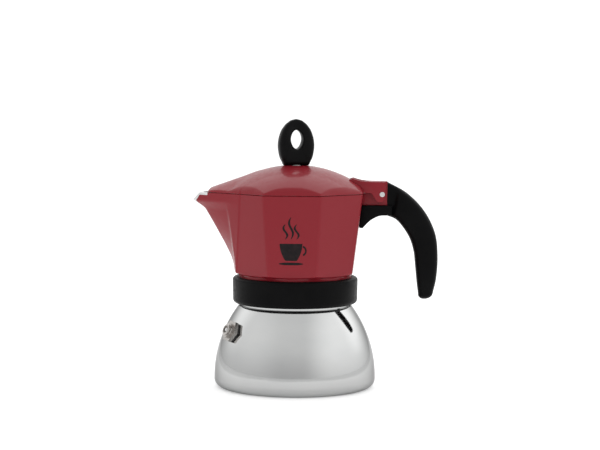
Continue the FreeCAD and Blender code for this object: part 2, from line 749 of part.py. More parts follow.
def make_jug():
    skirt_clear = d.skirt_end_level - 4
    block = faceted_block("jug_block", 0, wall_start_level, d.jug_rim_level)
    rounded = document.addObject("Part::Fillet", "jug_rounded_block")
    rounded.Base = block
    document.recompute()
    rounded.Edges = [(number, d.corner_rounding.number, d.corner_rounding.number)
                     for number, edge in enumerate(block.Shape.Edges, start=1)
                     if abs(edge.Vertexes[0].Z - edge.Vertexes[-1].Z) > 10]
    outer = fuse("jug_outer", rounded, make_spout("spout_block", 0.0))
    envelope_reach = d.spout_reach + 10
    foot_cone = d.foot_cone_rise * (envelope_reach - d.skirt_radius)
    envelope = turned("jug_envelope", [
        (0, wall_start_level),
        (d.skirt_radius, wall_start_level),
        (d.skirt_radius, d.wall_foot_level),
        (envelope_reach, d.wall_foot_level + foot_cone),
        (envelope_reach, d.jug_rim_level),
        (0, d.jug_rim_level),
    ])
    lip_cut = padded("lip_cut", [
        (-(d.spout_reach + 3), d.jug_rim_level + 3),
        (-(d.spout_reach + 3), d.jug_rim_level - 8.6),
        (-(d.spout_reach - 4.6), d.jug_rim_level - 0.2),
        (-(d.spout_reach - 8), d.jug_rim_level + 3),
    ], 30)
    walls = common("jug_walls", outer, envelope)
    cavity = faceted_block("jug_cavity", d.jug_wall, d.wall_foot_level + 0.4, d.jug_rim_level + 1)
    channel = make_spout("spout_channel", d.spout_wall.number)
    floor_form = turned("floor_form", [
        (0, d.skirt_end_level),
        (d.jug_rim_apothem, d.skirt_end_level),
        (d.jug_rim_apothem, chamber_level + d.floor_thickness),
        (d.column_foot_radius + 3, chamber_level + d.floor_thickness + d.chamber_rise - 2),
        (0, chamber_level + d.floor_thickness + d.chamber_rise),
    ])
    hollow = cut("jug_hollow", fuse("jug_cavities", cavity, channel), floor_form)
    lug = padded("hinge_lug", [
        (wall_apothem(d.lug_foot_level) - 1, d.lug_foot_level),
        (d.lug_end_reach, d.lug_foot_level),
        (d.lug_end_reach, d.lug_top_level),
        (d.lug_front_reach, d.lug_top_level),
        (d.jug_rim_apothem + 1.3, d.jug_rim_level),
        (d.jug_rim_apothem - 1, d.jug_rim_level),
    ], 2 * d.lug_half_width)
    column = turned("brew_column", [
        (0, chamber_level),
        (d.column_foot_radius, chamber_level),
        (d.column_foot_radius, chamber_level + d.floor_thickness + d.chamber_rise),
        (d.column_top_radius, d.column_top_level - 1),
        (d.column_top_radius - 1, d.column_top_level),
        (0, d.column_top_level),
    ])
    skirt = turned("thread_skirt", [
        (skirt_bore_radius, d.skirt_end_level),
        (d.skirt_radius, d.skirt_end_level),
        (d.skirt_radius, wall_start_level),
        (skirt_bore_radius, wall_start_level),
    ])
    ridge_offset = ridge_drop()
    start = d.thread_start_level - ridge_offset
    ridge = [
        (skirt_bore_radius + 0.1, start - d.thread_root_width / 2),
        (skirt_bore_radius + 0.1, start + d.thread_root_width / 2),
        (skirt_bore_radius - female_depth(), start + d.thread_crest_width / 2),
        (skirt_bore_radius - female_depth(), start - d.thread_crest_width / 2),
    ]
    add_thread(skirt, "skirt_thread", ridge, d.thread_pitch * d.thread_turns)
    chamber = turned("steam_chamber", [
        (0, skirt_clear),
        (skirt_bore_radius, skirt_clear),
        (skirt_bore_radius, chamber_level),
        (d.gasket_inner_radius + 1, chamber_level),
        (d.column_bore_radius, chamber_level + d.chamber_rise),
        (d.column_bore_radius, d.column_top_level - 2.5),
        (0, d.column_top_level - 2.5),
    ])
    outlet_level = d.column_top_level - 2.5 - d.outlet_height
    outlets = solid(
        "Box", "column_outlets",
        position=(-(d.outlet_width / 2), -(d.column_foot_radius + 2), outlet_level),
        Length=d.outlet_width, Width=2 * (d.column_foot_radius + 2), Height=d.outlet_height)
    pin_hole = solid(
        "Cylinder", "lug_pin_hole", position=(d.hinge_reach, -20, d.hinge_level),
        rotation=FreeCAD.Rotation(FreeCAD.Vector(1, 0, 0), -90), Radius=d.hinge_pin_radius, Height=40)
    screw_hole = solid(
        "Cylinder", "lug_screw_hole", position=(d.handle_screw_reach, 0, d.lug_foot_level - 1),
        Radius=d.handle_screw_radius, Height=d.handle_screw_bite + 1)
    shell = cut("jug_shell", fuse("jug_walls_and_lug", walls, lug), hollow, lip_cut)
    cast = cut("jug_cast", fuse("jug_with_column", shell, column), chamber, outlets, pin_hole, screw_hole)
    return subpart("collector_jug", fuse("collector_jug", cast, skirt))


def female_depth():
    """How far the skirt's ridge stands in from its bore."""
    return d.thread_depth - 0.05


def ridge_drop():
    """How far below the neck's ridge the skirt's ridge runs, so that their flanks nearly meet."""
    slope = (d.thread_root_width - d.thread_crest_width) / 2 / d.thread_depth
    overlap = d.thread_depth - d.thread_radial_gap
    half_widths = d.thread_crest_width + slope * overlap
    return half_widths + d.thread_flank_gap


def make_collar():
    bore = d.skirt_radius + d.collar_fit
    lip_radius = bore - d.collar_lip
    lip_top = d.skirt_end_level - 0.05
    subpart("collar_ring", turned("collar_ring", [
        (bore, d.collar_top_level),
        (bore, lip_top),
        (lip_radius, lip_top),
        (lip_radius, d.collar_foot_level),
        (d.collar_radius - 0.2 - d.collar_foot_rounding, d.collar_foot_level, d.collar_foot_rounding, 1),
        (d.collar_radius - 0.2, d.collar_foot_level + d.collar_foot_rounding),
        (d.collar_radius, d.collar_top_level - d.collar_top_rounding, d.collar_top_rounding, 1),
        (d.collar_radius - d.collar_top_rounding, d.collar_top_level),
    ]))


# ---- handle --------------------------------------------------------------------------------------

HANDLE_STATIONS = [
    # reach past the lug and drop below its top: outer edge, inner edge; then share of the half width
    (0.0, 0.0, 0.0, 19.9, 0.90),
    (11.9, 6.7, 6.3, 22.6, 0.98),
    (22.0, 17.0, 12.7, 31.1, 1.00),
    (28.5, 29.9, 15.7, 39.3, 1.00),
    (30.2, 43.3, 16.8, 47.7, 1.00),
    (29.4, 55.9, 17.8, 57.7, 0.92),
    (27.5, 64.7, 18.8, 65.3, 0.72),
    (25.2, 67.7, 21.2, 68.0, 0.36),
]


def handle_section(outer, inner, half_width):
    """A closed rounded section that spans the handle from its outer to its inner edge."""
    centre = (outer + inner) * 0.5
    along = (outer - inner) * 0.5
    corners = 16
    squareness = 0.62
    spots = []
    for step in range(corners):
        angle = 2 * math.pi * (step + 0.5) / corners
        across = math.copysign(abs(math.sin(angle)) ** squareness, math.sin(angle))
        length = math.copysign(abs(math.cos(angle)) ** squareness, math.cos(angle))
        spots.append(centre + along * length + FreeCAD.Vector(0, across * half_width, 0))
    return Part.makePolygon(spots + spots[:1])


def smooth_track(points):
    """A smooth curve through points, one unit of its parameter apart."""
    curve = Part.BSplineCurve()
    curve.interpolate(Points=points, Parameters=[float(index) for index in range(len(points))])
    return curve


def handle_grip_shape():
    reach = d.lug_end_reach.number
    level = d.lug_top_level.number
    outer_track = smooth_track([FreeCAD.Vector(reach + row[0], 0, level - row[1]) for row in HANDLE_STATIONS])
    inner_track = smooth_track([FreeCAD.Vector(reach + row[2], 0, level - row[3]) for row in HANDLE_STATIONS])
    width_track = smooth_track(
        [FreeCAD.Vector(row[4], 0, index) for index, row in enumerate(HANDLE_STATIONS)])
    steps_per_station = 2
    sections = []
    for step in range(steps_per_station * (len(HANDLE_STATIONS) - 1) + 1):
        place = step / steps_per_station
        half_width = width_track.value(place).x * d.handle_half_width.number
        sections.append(handle_section(outer_track.value(place), inner_track.value(place), half_width))
    return Part.makeLoft(sections, True, True)


def make_handle():
    grip = document.addObject("Part::Feature", "handle_grip")
    grip.Shape = handle_grip_shape()
    jaw_foot_level = d.lug_foot_level - d.jaw_height
    jaw_foot_reach = wall_apothem(jaw_foot_level) + d.jaw_gap
    jaw = padded("handle_jaw", [
        (wall_apothem(d.lug_foot_level) + d.jaw_gap, d.lug_foot_level),
        (jaw_foot_reach, jaw_foot_level),
        (jaw_foot_reach + 1.5, jaw_foot_level - 0.9),
        (jaw_foot_reach + 4.0, jaw_foot_level + 0.5, 14, -1),
        (d.lug_end_reach + 0.4, d.lug_foot_level - 6.0),
        (d.lug_end_reach + 2.2, d.lug_foot_level - 6.0),
        (d.lug_end_reach + 2.2, d.lug_foot_level),
    ], 1.7 * d.handle_half_width)
    sweep = solid(
        "Cylinder", "arm_sweep", position=(d.hinge_reach, -15, d.hinge_level),
        rotation=FreeCAD.Rotation(FreeCAD.Vector(1, 0, 0), -90), Radius=d.arm_sweep_radius, Height=30)
    web = solid(
        "Box", "lug_web", position=(d.hinge_reach - 10, -d.lug_half_width, d.hinge_level - 10),
        Length=20, Width=2 * d.lug_half_width, Height=20)
    pockets = cut("arm_pockets", sweep, web)
    lug_clear = solid(
        "Box", "lug_clear", position=(d.lug_end_reach - 20, -20, d.lug_foot_level),
        Length=20, Width=40, Height=20)
    screw_hole = solid(
        "Cylinder", "handle_screw_hole", position=(d.handle_screw_reach, 0, d.lug_foot_level - 20),
        Radius=d.handle_screw_radius + 0.1, Height=21)
    head_hole = solid(
        "Cylinder", "handle_head_hole", position=(d.handle_screw_reach, 0, d.lug_foot_level - 24),
        Radius=d.handle_screw_head_radius + 0.2, Height=20.5)
    subpart("handle", cut(
        "handle", fuse("handle_blank", grip, jaw), pockets, lug_clear, screw_hole, head_hole))
    head = solid(
        "Cylinder", "handle_screw_head", position=(d.handle_screw_reach, 0, d.lug_foot_level - 5.7),
        Radius=d.handle_screw_head_radius, Height=2.2)
    shank = solid(
        "Cylinder", "handle_screw_shank", position=(d.handle_screw_reach, 0, d.lug_foot_level - 4),
        Radius=d.handle_screw_radius, Height=d.handle_screw_bite + 4)
    slot = solid(
        "Box", "handle_screw_slot",
        position=(d.handle_screw_reach - 5, -0.5, d.lug_foot_level - 6), Length=10, Width=1, Height=1.1)
    subpart("handle_screw", cut("handle_screw", fuse("handle_screw_blank", head, shank), slot))


# ---- lid and hinge -------------------------------------------------------------------------------

lid_foot_level = d.jug_rim_level + d.lid_gap
dome_centre_level = d.lid_top_level + d.lid_dome_crown - d.lid_dome_radius
beak_root_reach = root(Size(2, "2")) * d.jug_rim_apothem - d.spout_root_half_width


def lid_form(name, inset, foot_level):
    """The lid's outer form, or its hollow when drawn in: a dome on the octagon and a roof over the beak."""
    prism_sections = [
        octagon(name + "_foot", (d.jug_rim_apothem + 0.1 - inset) * to_corner, foot_level),
        octagon(name + "_head", (d.jug_rim_apothem + 0.1 - inset) * to_corner, d.lid_top_level + 2),
    ]
    prism = loft(name + "_prism", prism_sections)
    dome = solid(
        "Sphere", name + "_dome", position=(0, 0, dome_centre_level), Radius=d.lid_dome_radius - inset)
    cap = common(name + "_cap", prism, dome)
    plan = padded(name + "_plan", [
        (-(d.jug_rim_apothem - 12), d.spout_root_half_width - inset),
        (-(beak_root_reach - inset * 0.4), d.spout_root_half_width - inset),
        (-(d.roof_end_reach - inset), roof_end_half_width() - inset),
        (-(d.roof_end_reach - inset), inset - roof_end_half_width()),
        (-(beak_root_reach - inset * 0.4), inset - d.spout_root_half_width),
        (-(d.jug_rim_apothem - 12), inset - d.spout_root_half_width),
    ], 2 * (d.lid_top_level - foot_level), role="XY_Plane")
    move_to(plan, (0, 0, foot_level + (d.lid_top_level - foot_level)))
    slope = math.radians(d.roof_slope.number)
    drop = d.roof_crown_radius.number
    ridge_start = FreeCAD.Vector(
        -d.roof_ridge_reach.number + drop * math.sin(slope) + 30 * math.cos(slope), 0,
        d.roof_ridge_level.number - drop * math.cos(slope) + 30 * math.sin(slope))
    vault = solid("Cylinder", name + "_vault", Radius=d.roof_crown_radius - inset, Height=80)
    direction = FreeCAD.Vector(-math.cos(slope), 0, -math.sin(slope))
    vault.Placement = FreeCAD.Placement(ridge_start, FreeCAD.Rotation(FreeCAD.Vector(0, 0, 1), direction))
    roof = common(name + "_roof", plan, vault)
    return fuse(name, cap, roof)


def roof_end_half_width():
    """Half the roof's width at its end, on the line from the beak's root to its tip."""
    run = d.spout_reach - 3 - beak_root_reach
    share = (d.roof_end_reach - beak_root_reach) / run
    return d.spout_root_half_width - share * (d.spout_root_half_width - d.spout_tip_half_width)


def make_lid():
    arm_inner = d.lug_half_width + d.arm_gap
    arm_outer = arm_inner + d.arm_width
    arm_root_reach = d.jug_rim_apothem + 0.1 - d.lid_wall
    arm_end_reach = d.hinge_reach + 2.4
    arm_foot_level = d.hinge_level - 4.5
    arm_top_level = d.hinge_level + 7.1
    outer = lid_form("lid_outer", Size(0, "0"), lid_foot_level)
    inner = lid_form("lid_inner", d.lid_wall, lid_foot_level - 1)
    flat = solid("Box", "lid_flat", position=(-20, -20, d.lid_top_level), Length=40, Width=40, Height=10)
    seat = solid("Cylinder", "lid_washer_seat",
                 position=(0, 0, d.lid_top_level - d.lid_wall - 5),
                 Radius=d.knob_washer_radius + 0.4, Height=5)
    screw_hole = solid("Cylinder", "lid_screw_hole", position=(0, 0, d.lid_top_level - 10),
                       Radius=d.knob_screw_radius + 0.1, Height=20)
    arms = padded("lid_arms", [
        (arm_root_reach, lid_foot_level),
        (d.hinge_reach - 8.8, lid_foot_level),
        (d.hinge_reach - 5.5, d.hinge_level),
        (d.hinge_reach - 3.0, arm_foot_level, 3.6, 1),
        (d.hinge_reach + 1.4, arm_foot_level),
        (arm_end_reach, d.hinge_level + 1.8),
        (arm_end_reach, arm_top_level - 0.7),
        (arm_end_reach - 0.5, arm_top_level),
        (d.jug_rim_apothem + 0.3, arm_top_level + 0.1),
        (d.jug_rim_apothem - 3.3, arm_top_level + 0.6),
        (arm_root_reach - 5.1, d.lid_top_level - 8.0),
        (arm_root_reach - 4.9, d.lid_top_level - 9.5),
        (arm_root_reach, d.lid_top_level - 12.4),
    ], 2 * arm_outer)
    arm_split = solid(
        "Box", "arm_split", position=(arm_root_reach - 6, -arm_inner, lid_foot_level - 20),
        Length=30, Width=2 * arm_inner, Height=60)
    lug_corner = root(
        (d.hinge_reach - d.lug_front_reach) * (d.hinge_reach - d.lug_front_reach)
        + (d.lug_top_level - d.hinge_level) * (d.lug_top_level - d.hinge_level))
    notch_round = solid(
        "Cylinder", "lug_notch_round", position=(d.hinge_reach, -arm_inner, d.hinge_level),
        rotation=FreeCAD.Rotation(FreeCAD.Vector(1, 0, 0), -90),
        Radius=lug_corner + d.lug_sweep_gap, Height=2 * arm_inner)
    pin_hole = solid(
        "Cylinder", "arm_pin_hole", position=(d.hinge_reach, -20, d.hinge_level),
        rotation=FreeCAD.Rotation(FreeCAD.Vector(1, 0, 0), -90),
        Radius=d.hinge_pin_radius + d.hinge_fit, Height=40)
    blank = fuse("lid_blank", cut("lid_shell", outer, inner), arms)
    slot = common("arm_slot", arm_split, notch_round)
    subpart("lid", cut("lid", blank, flat, seat, screw_hole, slot, pin_hole))
    subpart("hinge_pin", solid(
        "Cylinder", "hinge_pin",
        position=(d.hinge_reach, -(arm_outer + 0.1), d.hinge_level),
        rotation=FreeCAD.Rotation(FreeCAD.Vector(1, 0, 0), -90),
        Radius=d.hinge_pin_radius, Height=2 * (arm_outer + 0.1)))


# ---- knob ----------------------------------------------------------------------------------------

KNOB_STATIONS = [
    # share of the height, share of the half width, share of the half depth
    (0.000, 0.70, 0.94),
    (0.130, 0.86, 1.00),
    (0.305, 0.98, 1.00),
    (0.475, 1.00, 0.97),
    (0.650, 0.92, 0.90),
    (0.820, 0.72, 0.76),
    (0.930, 0.45, 0.52),
    (1.000, 0.10, 0.14),
]


def make_knob():
    base = d.lid_top_level.number
    sections = []
    for height_share, width_share, depth_share in KNOB_STATIONS:
        level = base + height_share * d.knob_height.number
        major = width_share * d.knob_half_width.number
        minor = depth_share * d.knob_half_depth.number
        centre = FreeCAD.Vector(0, 0, level)
        wide_end = FreeCAD.Vector(major, 0, level)
        deep_end = FreeCAD.Vector(0, minor, level)
        if major >= minor:
            ellipse = Part.Ellipse(wide_end, deep_end, centre)
        else:
            ellipse = Part.Ellipse(deep_end, FreeCAD.Vector(-major, 0, level), centre)
        sections.append(Part.Wire(ellipse.toShape()))
    blank = document.addObject("Part::Feature", "knob_blank")
    blank.Shape = Part.makeLoft(sections, True, False)
    half_wide = d.knob_hole_width / 2
    half_high = d.knob_hole_height / 2
    arc_radius = (half_wide * half_wide + half_high * half_high) / (2 * half_wide)
    eye = padded("knob_eye", [
        (0, d.knob_hole_level - half_high, arc_radius, 1),
        (0, d.knob_hole_level + half_high, arc_radius, 1),
    ], 4 * d.knob_half_depth)
    insert_hole = solid("Cylinder", "knob_insert_hole", position=(0, 0, d.lid_top_level - 1),
                        Radius=d.knob_insert_radius, Height=d.knob_insert_depth + 1)
    knob = cut("knob", blank, eye, insert_hole)
    knob.Placement = FreeCAD.Placement(
        FreeCAD.Vector(), FreeCAD.Rotation(FreeCAD.Vector(0, 0, 1), d.knob_turn.number))
    subpart("knob", knob)
    insert_blank = solid("Cylinder", "knob_insert_blank", position=(0, 0, d.lid_top_level),
                         Radius=d.knob_insert_radius, Height=d.knob_insert_depth)
    thread_hole = solid("Cylinder", "knob_thread_hole", position=(0, 0, d.lid_top_level - 1),
                        Radius=d.knob_screw_radius, Height=d.knob_insert_depth + 0.2)
    subpart("knob_insert", cut("knob_insert", insert_blank, thread_hole))
    washer_level = d.lid_top_level - d.lid_wall - d.knob_washer_thickness
    washer_blank = solid("Cylinder", "knob_washer_blank", position=(0, 0, washer_level),
                         Radius=d.knob_washer_radius, Height=d.knob_washer_thickness)
    washer_hole = solid("Cylinder", "knob_washer_hole", position=(0, 0, washer_level - 1),
                        Radius=d.knob_screw_radius + 0.1, Height=3)
    subpart("knob_washer", cut("knob_washer", washer_blank, washer_hole))
    screw_length = d.lid_wall + d.knob_washer_thickness + d.knob_insert_depth - 1.2
    shank = solid("Cylinder", "knob_screw_shank", position=(0, 0, washer_level),
                  Radius=d.knob_screw_radius, Height=screw_length)
    head = solid("Cylinder", "knob_screw_head", position=(0, 0, washer_level - 2),
                 Radius=d.knob_screw_radius * 1.9, Height=2)
    slot = solid("Box", "knob_screw_slot", position=(-5, -0.5, washer_level - 2.5),
                 Length=10, Width=1, Height=1.4)
    subpart("knob_screw", cut("knob_screw", fuse("knob_screw_blank", shank, head), slot))


# ---- build, check and write ----------------------------------------------------------------------

make_boiler_shell()
make_base()
make_valve()
make_funnel()
make_seal()
make_jug()
make_collar()
make_handle()
make_lid()
make_knob()
document.recompute()

for item in document.Objects:
    if "Invalid" in item.State or "Error" in item.State:
        raise RuntimeError("%s failed: %s" % (item.Name, item.State))
for label, item in subparts.items():
    if item.Shape.isNull() or not item.Shape.isValid():
        raise RuntimeError("%s has no valid shape" % label)

os.makedirs("parts", exist_ok=True)
for label, item in subparts.items():
    item.Shape.exportStep("parts/%s.step" % label)
    print("%-16s %10.1f mm3 %d solid" % (label, item.Shape.Volume, len(item.Shape.Solids)))
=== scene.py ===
import json
import math

import bmesh
import bpy
import numpy as np
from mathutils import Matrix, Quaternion, Vector


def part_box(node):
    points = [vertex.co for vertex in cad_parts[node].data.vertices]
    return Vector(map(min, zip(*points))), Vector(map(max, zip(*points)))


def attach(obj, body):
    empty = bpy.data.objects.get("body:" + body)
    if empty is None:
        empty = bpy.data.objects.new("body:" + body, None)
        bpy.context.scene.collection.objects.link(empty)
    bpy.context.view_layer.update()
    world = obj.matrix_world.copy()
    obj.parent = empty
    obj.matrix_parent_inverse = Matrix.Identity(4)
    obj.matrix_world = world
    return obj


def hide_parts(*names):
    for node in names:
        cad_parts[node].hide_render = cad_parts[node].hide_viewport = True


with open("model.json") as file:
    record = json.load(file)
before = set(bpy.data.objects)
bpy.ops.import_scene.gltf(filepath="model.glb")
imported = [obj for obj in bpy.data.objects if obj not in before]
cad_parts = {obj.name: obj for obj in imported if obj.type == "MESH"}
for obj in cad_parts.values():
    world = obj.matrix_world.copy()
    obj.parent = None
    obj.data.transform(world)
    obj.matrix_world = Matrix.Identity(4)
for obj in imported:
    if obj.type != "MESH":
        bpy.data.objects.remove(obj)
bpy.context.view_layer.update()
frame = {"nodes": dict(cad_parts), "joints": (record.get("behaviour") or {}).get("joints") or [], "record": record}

MM = 0.001

# Levels and distances are in millimetres, in the pot's own frame: +Z up, handle along +X, spout along -X.
jug_low, jug_high = (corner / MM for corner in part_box("collector_jug"))
lid_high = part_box("lid")[1] / MM
knob_low, knob_high = (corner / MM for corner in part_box("knob"))
hinge = next(Vector(joint["pos_m"]) / MM for joint in frame["joints"] if joint["name"] == "lid_open")

# Points round the pot's axis in one ring of the jug or the lid.
AROUND = 720

# The jug's outside. FOOT_CONE is the rise of its underside for each millimetre outward.
RIM_LEVEL = 113.4
FOOT_LEVEL = 66.2
RIM_APOTHEM = 39.3
FOOT_APOTHEM = 33.4
FOOT_CONE = 0.28
NECK_RADIUS = 32.8

# The jug's inside and its thread.
JUG_WALL = 2.3
JUG_FLOOR = FOOT_LEVEL + 0.2
COLUMN_TOP = 104.0
COLUMN_BORE = 3.2
COLUMN_BORE_TOP = 101.5
OUTLET_FOOT = 96.5
OUTLET_HALF_COLUMNS = 46
GASKET_SEAT = 63.2
THREAD_BORE = 31.1
THREAD_PITCH = 3.0
THREAD_START = 50.25

# The beak. Its keel's height and overhang are shares of the jug's height and of the spout's overhang.
SPOUT_REACH = -jug_low.x
SPOUT_ROOT = 25.0
SPOUT_NOSE = 2.8
SPOUT_WALL = 1.8
KEEL_HEIGHTS = (-0.05, 0.03, 0.13, 0.222, 0.35, 0.483, 0.62, 0.752, 0.803, 0.852, 0.883, 0.898, 1.02)
KEEL_SHARES = (0.05, 0.078, 0.105, 0.160, 0.27, 0.400, 0.535, 0.67, 0.727, 0.84, 0.95, 1.00, 1.00)

# The lug, behind which the handle starts.
LUG_FOOT = 106.5
LUG_HALF_WIDTH = 3.9
LUG_INTO_HANDLE = 0.5

# The lid: a dome, and a roof over the beak that falls towards the spout.
LID_FOOT = 113.6
LID_HOLE = 2.1
DOME_RADIUS = 67.0
DOME_CROWN = 0.3
ROOF_END = 50.5
ROOF_RIDGE_REACH = 29.2
ROOF_RIDGE_LEVEL = 123.2
ROOF_SLOPE = math.radians(19.6)
ROOF_CROWN_RADIUS = 36.0
ARM_HALF_WIDTH = 1.6
ARM_SPACING = 5.85

# The knob, with its eye. Widths and depths are shares at heights that are shares of the knob's own.
KNOB_HALF_WIDTH = 10.45
KNOB_HALF_DEPTH = 5.6
KNOB_EYE_LEVEL = 144.2
KNOB_EYE_HALF_WIDTH = 3.45
KNOB_EYE_HALF_HEIGHT = 5.4
KNOB_EYE_FULLNESS = 1.75
KNOB_FOOT_HEIGHT = 5.0
KNOB_TURN = math.radians(15)
KNOB_SHARES = (0.000, 0.06, 0.130, 0.305, 0.475, 0.650, 0.820, 0.930, 0.985, 1.000)
KNOB_WIDTHS = (0.70, 0.76, 0.86, 0.98, 1.00, 0.92, 0.72, 0.45, 0.19, 0.02)
KNOB_DEPTHS = (0.90, 0.94, 0.97, 0.97, 0.93, 0.84, 0.70, 0.55, 0.45, 0.42)

# The print stands this far off the facet, so that it shows.
PRINT_RAISE = 0.06
PRINT_MIDDLE = -0.6

# The handle from the lug to its tip: reach and level of its two edges, and share of its half width.
HANDLE_OUTER = (
    (52.8, 120.2), (64.6, 113.6), (74.7, 103.3), (81.1, 90.4), (82.7, 77.0), (82.0, 64.4), (80.1, 55.6))
HANDLE_INNER = (
    (52.8, 100.6), (59.0, 97.7), (65.4, 89.2), (68.4, 81.0), (69.5, 72.6), (70.5, 62.6), (71.5, 55.0))
HANDLE_SHARES = (0.56, 0.96, 1.00, 1.00, 1.00, 0.94, 0.76)
HANDLE_HALF_WIDTH = 7.1
HANDLE_NECK_END = 58.6
HANDLE_NECK_BLEND = 2.6
HANDLE_TIP_LENGTH = 3.2
JAW_HEIGHT = 12.4
JAW_HALF_WIDTH = 6.0
JAW_END = 56.0


# ---- mesh helpers --------------------------------------------------------------------------------


def show(name, mesh, material):
    """An object of a mesh, smooth shaded, with its first material."""
    mesh.materials.append(material)
    mesh.polygons.foreach_set("use_smooth", [True] * len(mesh.polygons))
    item = bpy.data.objects.new(name, mesh)
    bpy.context.scene.collection.objects.link(item)
    return item


def new_object(name, points, faces, materials, indices=None):
    """A mesh object from points in millimetres, and for each face the number of its material."""
    mesh = bpy.data.meshes.new(name)
    mesh.from_pydata([tuple(point) for point in np.asarray(points) * MM], [], [tuple(face) for face in faces])
    item = show(name, mesh, materials[0])
    for material in materials[1:]:
        mesh.materials.append(material)
    if indices is not None:
        mesh.polygons.foreach_set("material_index", indices)
    mesh.update()
    return item


def face_outward(item):
    """Turn every face of a closed mesh to look outward."""
    work = bmesh.new()
    work.from_mesh(item.data)
    bmesh.ops.recalc_face_normals(work, faces=work.faces)
    work.to_mesh(item.data)
    work.free()


def sharpen(item, degrees):
    """Keep an edge sharp where its faces meet at more than this angle."""
    item.data.set_sharp_from_angle(angle=math.radians(degrees))


def grid_faces(rows, columns, close_rows=False):
    """Quads over rings of points stored row by row, each row closed on itself."""
    faces = []
    row_count = rows if close_rows else rows - 1
    for row in range(row_count):
        below, above = row * columns, ((row + 1) % rows) * columns
        for column in range(columns):
            beside = (column + 1) % columns
            faces.append((below + column, below + beside, above + beside, above + column))
    return faces


def plate(name, corners, half_width, rounding, material, centre_y=0.0):
    """A closed plate in the XZ plane with rounded edges, thickness along Y."""
    work = bmesh.new()
    front = [work.verts.new((x * MM, (centre_y - half_width) * MM, z * MM)) for x, z in corners]
    back = [work.verts.new((x * MM, (centre_y + half_width) * MM, z * MM)) for x, z in corners]
    count = len(corners)
    work.faces.new(front)
    work.faces.new(list(reversed(back)))
    for index in range(count):
        following = (index + 1) % count
        work.faces.new((front[index], back[index], back[following], front[following]))
    bmesh.ops.recalc_face_normals(work, faces=work.faces)
    rim = [edge for edge in work.edges if len({vert.co.y for vert in edge.verts}) == 1]
    sides = [edge for edge in work.edges if edge not in rim and edge.calc_face_angle(0) > 0.5]
    bmesh.ops.bevel(
        work, geom=rim + sides, offset=rounding * MM, segments=4, profile=0.5, affect="EDGES",
        clamp_overlap=True)
    mesh = bpy.data.meshes.new(name)
    work.to_mesh(mesh)
    work.free()
    item = show(name, mesh, material)
    sharpen(item, 30)
    return item


def rounded_corner(before, corner, after, radius, steps=5):
    """Points of the arc that rounds a corner of an outline."""
    corner = np.array(corner, float)
    towards = [np.array(point, float) - corner for point in (before, after)]
    units = [vector / np.linalg.norm(vector) for vector in towards]
    half = math.acos(np.clip(units[0] @ units[1], -1, 1)) / 2
    reach = radius / math.tan(half)
    middle = corner + (units[0] + units[1]) / np.linalg.norm(units[0] + units[1]) * radius / math.sin(half)
    first = corner + units[0] * reach - middle
    last = corner + units[1] * reach - middle
    sweep = math.atan2(first[0] * last[1] - first[1] * last[0], first @ last)
    points = []
    for step in range(steps + 1):
        angle = sweep * step / steps
        turn = np.array([[math.cos(angle), -math.sin(angle)], [math.sin(angle), math.cos(angle)]])
        points.append(tuple(middle + turn @ first))
    return points


def spline(knots, values, places):
    """Values at places on a smooth curve through the knots, which rise."""
    knots, values = np.array(knots, float), np.array(values, float)
    places = np.asarray(places, float)
    gaps = np.diff(knots)
    slopes = np.diff(values) / gaps
    tangents = np.concatenate([[slopes[0]], (slopes[1:] * gaps[:-1] + slopes[:-1] * gaps[1:])
                               / (gaps[1:] + gaps[:-1]), [slopes[-1]]])
    cell = np.clip(np.searchsorted(knots, places) - 1, 0, len(gaps) - 1)
    part = (places - knots[cell]) / gaps[cell]
    gap = gaps[cell]
    square, cube = part ** 2, part ** 3
    return (values[cell] * (2 * cube - 3 * square + 1) + gap * tangents[cell] * (cube - 2 * square + part)
            + values[cell + 1] * (3 * square - 2 * cube) + gap * tangents[cell + 1] * (cube - square))


def smooth_max(one, two, blend):
    """The larger of two values, rounded where they are within the blend of each other."""
    near = np.clip(blend - np.abs(one - two), 0, None) / blend
    return np.maximum(one, two) + near ** 2 * blend / 4


# ---- materials -----------------------------------------------------------------------------------


def map_range(tree, socket, start, end, low, high, smooth=True):
    """A socket that runs from low to high while the given one runs from start to end."""
    node = tree.nodes.new("ShaderNodeMapRange")
    if smooth:
        node.interpolation_type = "SMOOTHSTEP"
    for name, value in (("From Min", start), ("From Max", end), ("To Min", low), ("To Max", high)):
        node.inputs[name].default_value = value
    tree.links.new(socket, node.inputs["Value"])
    return node.outputs["Result"]


def calculate(tree, operation, *values):
    """The result of a maths node on sockets and plain numbers."""
    node = tree.nodes.new("ShaderNodeMath")
    node.operation = operation
    for socket, value in zip(node.inputs, values):
        if isinstance(value, float):
            socket.default_value = value
        else:
            tree.links.new(value, socket)
    return node.outputs["Value"]


def split_vector(tree, coordinates):
    """The X, Y and Z of the point or direction that is shaded."""
    place = tree.nodes.new("ShaderNodeTexCoord")
    parts = tree.nodes.new("ShaderNodeSeparateXYZ")
    tree.links.new(place.outputs[coordinates], parts.inputs["Vector"])
    return parts.outputs


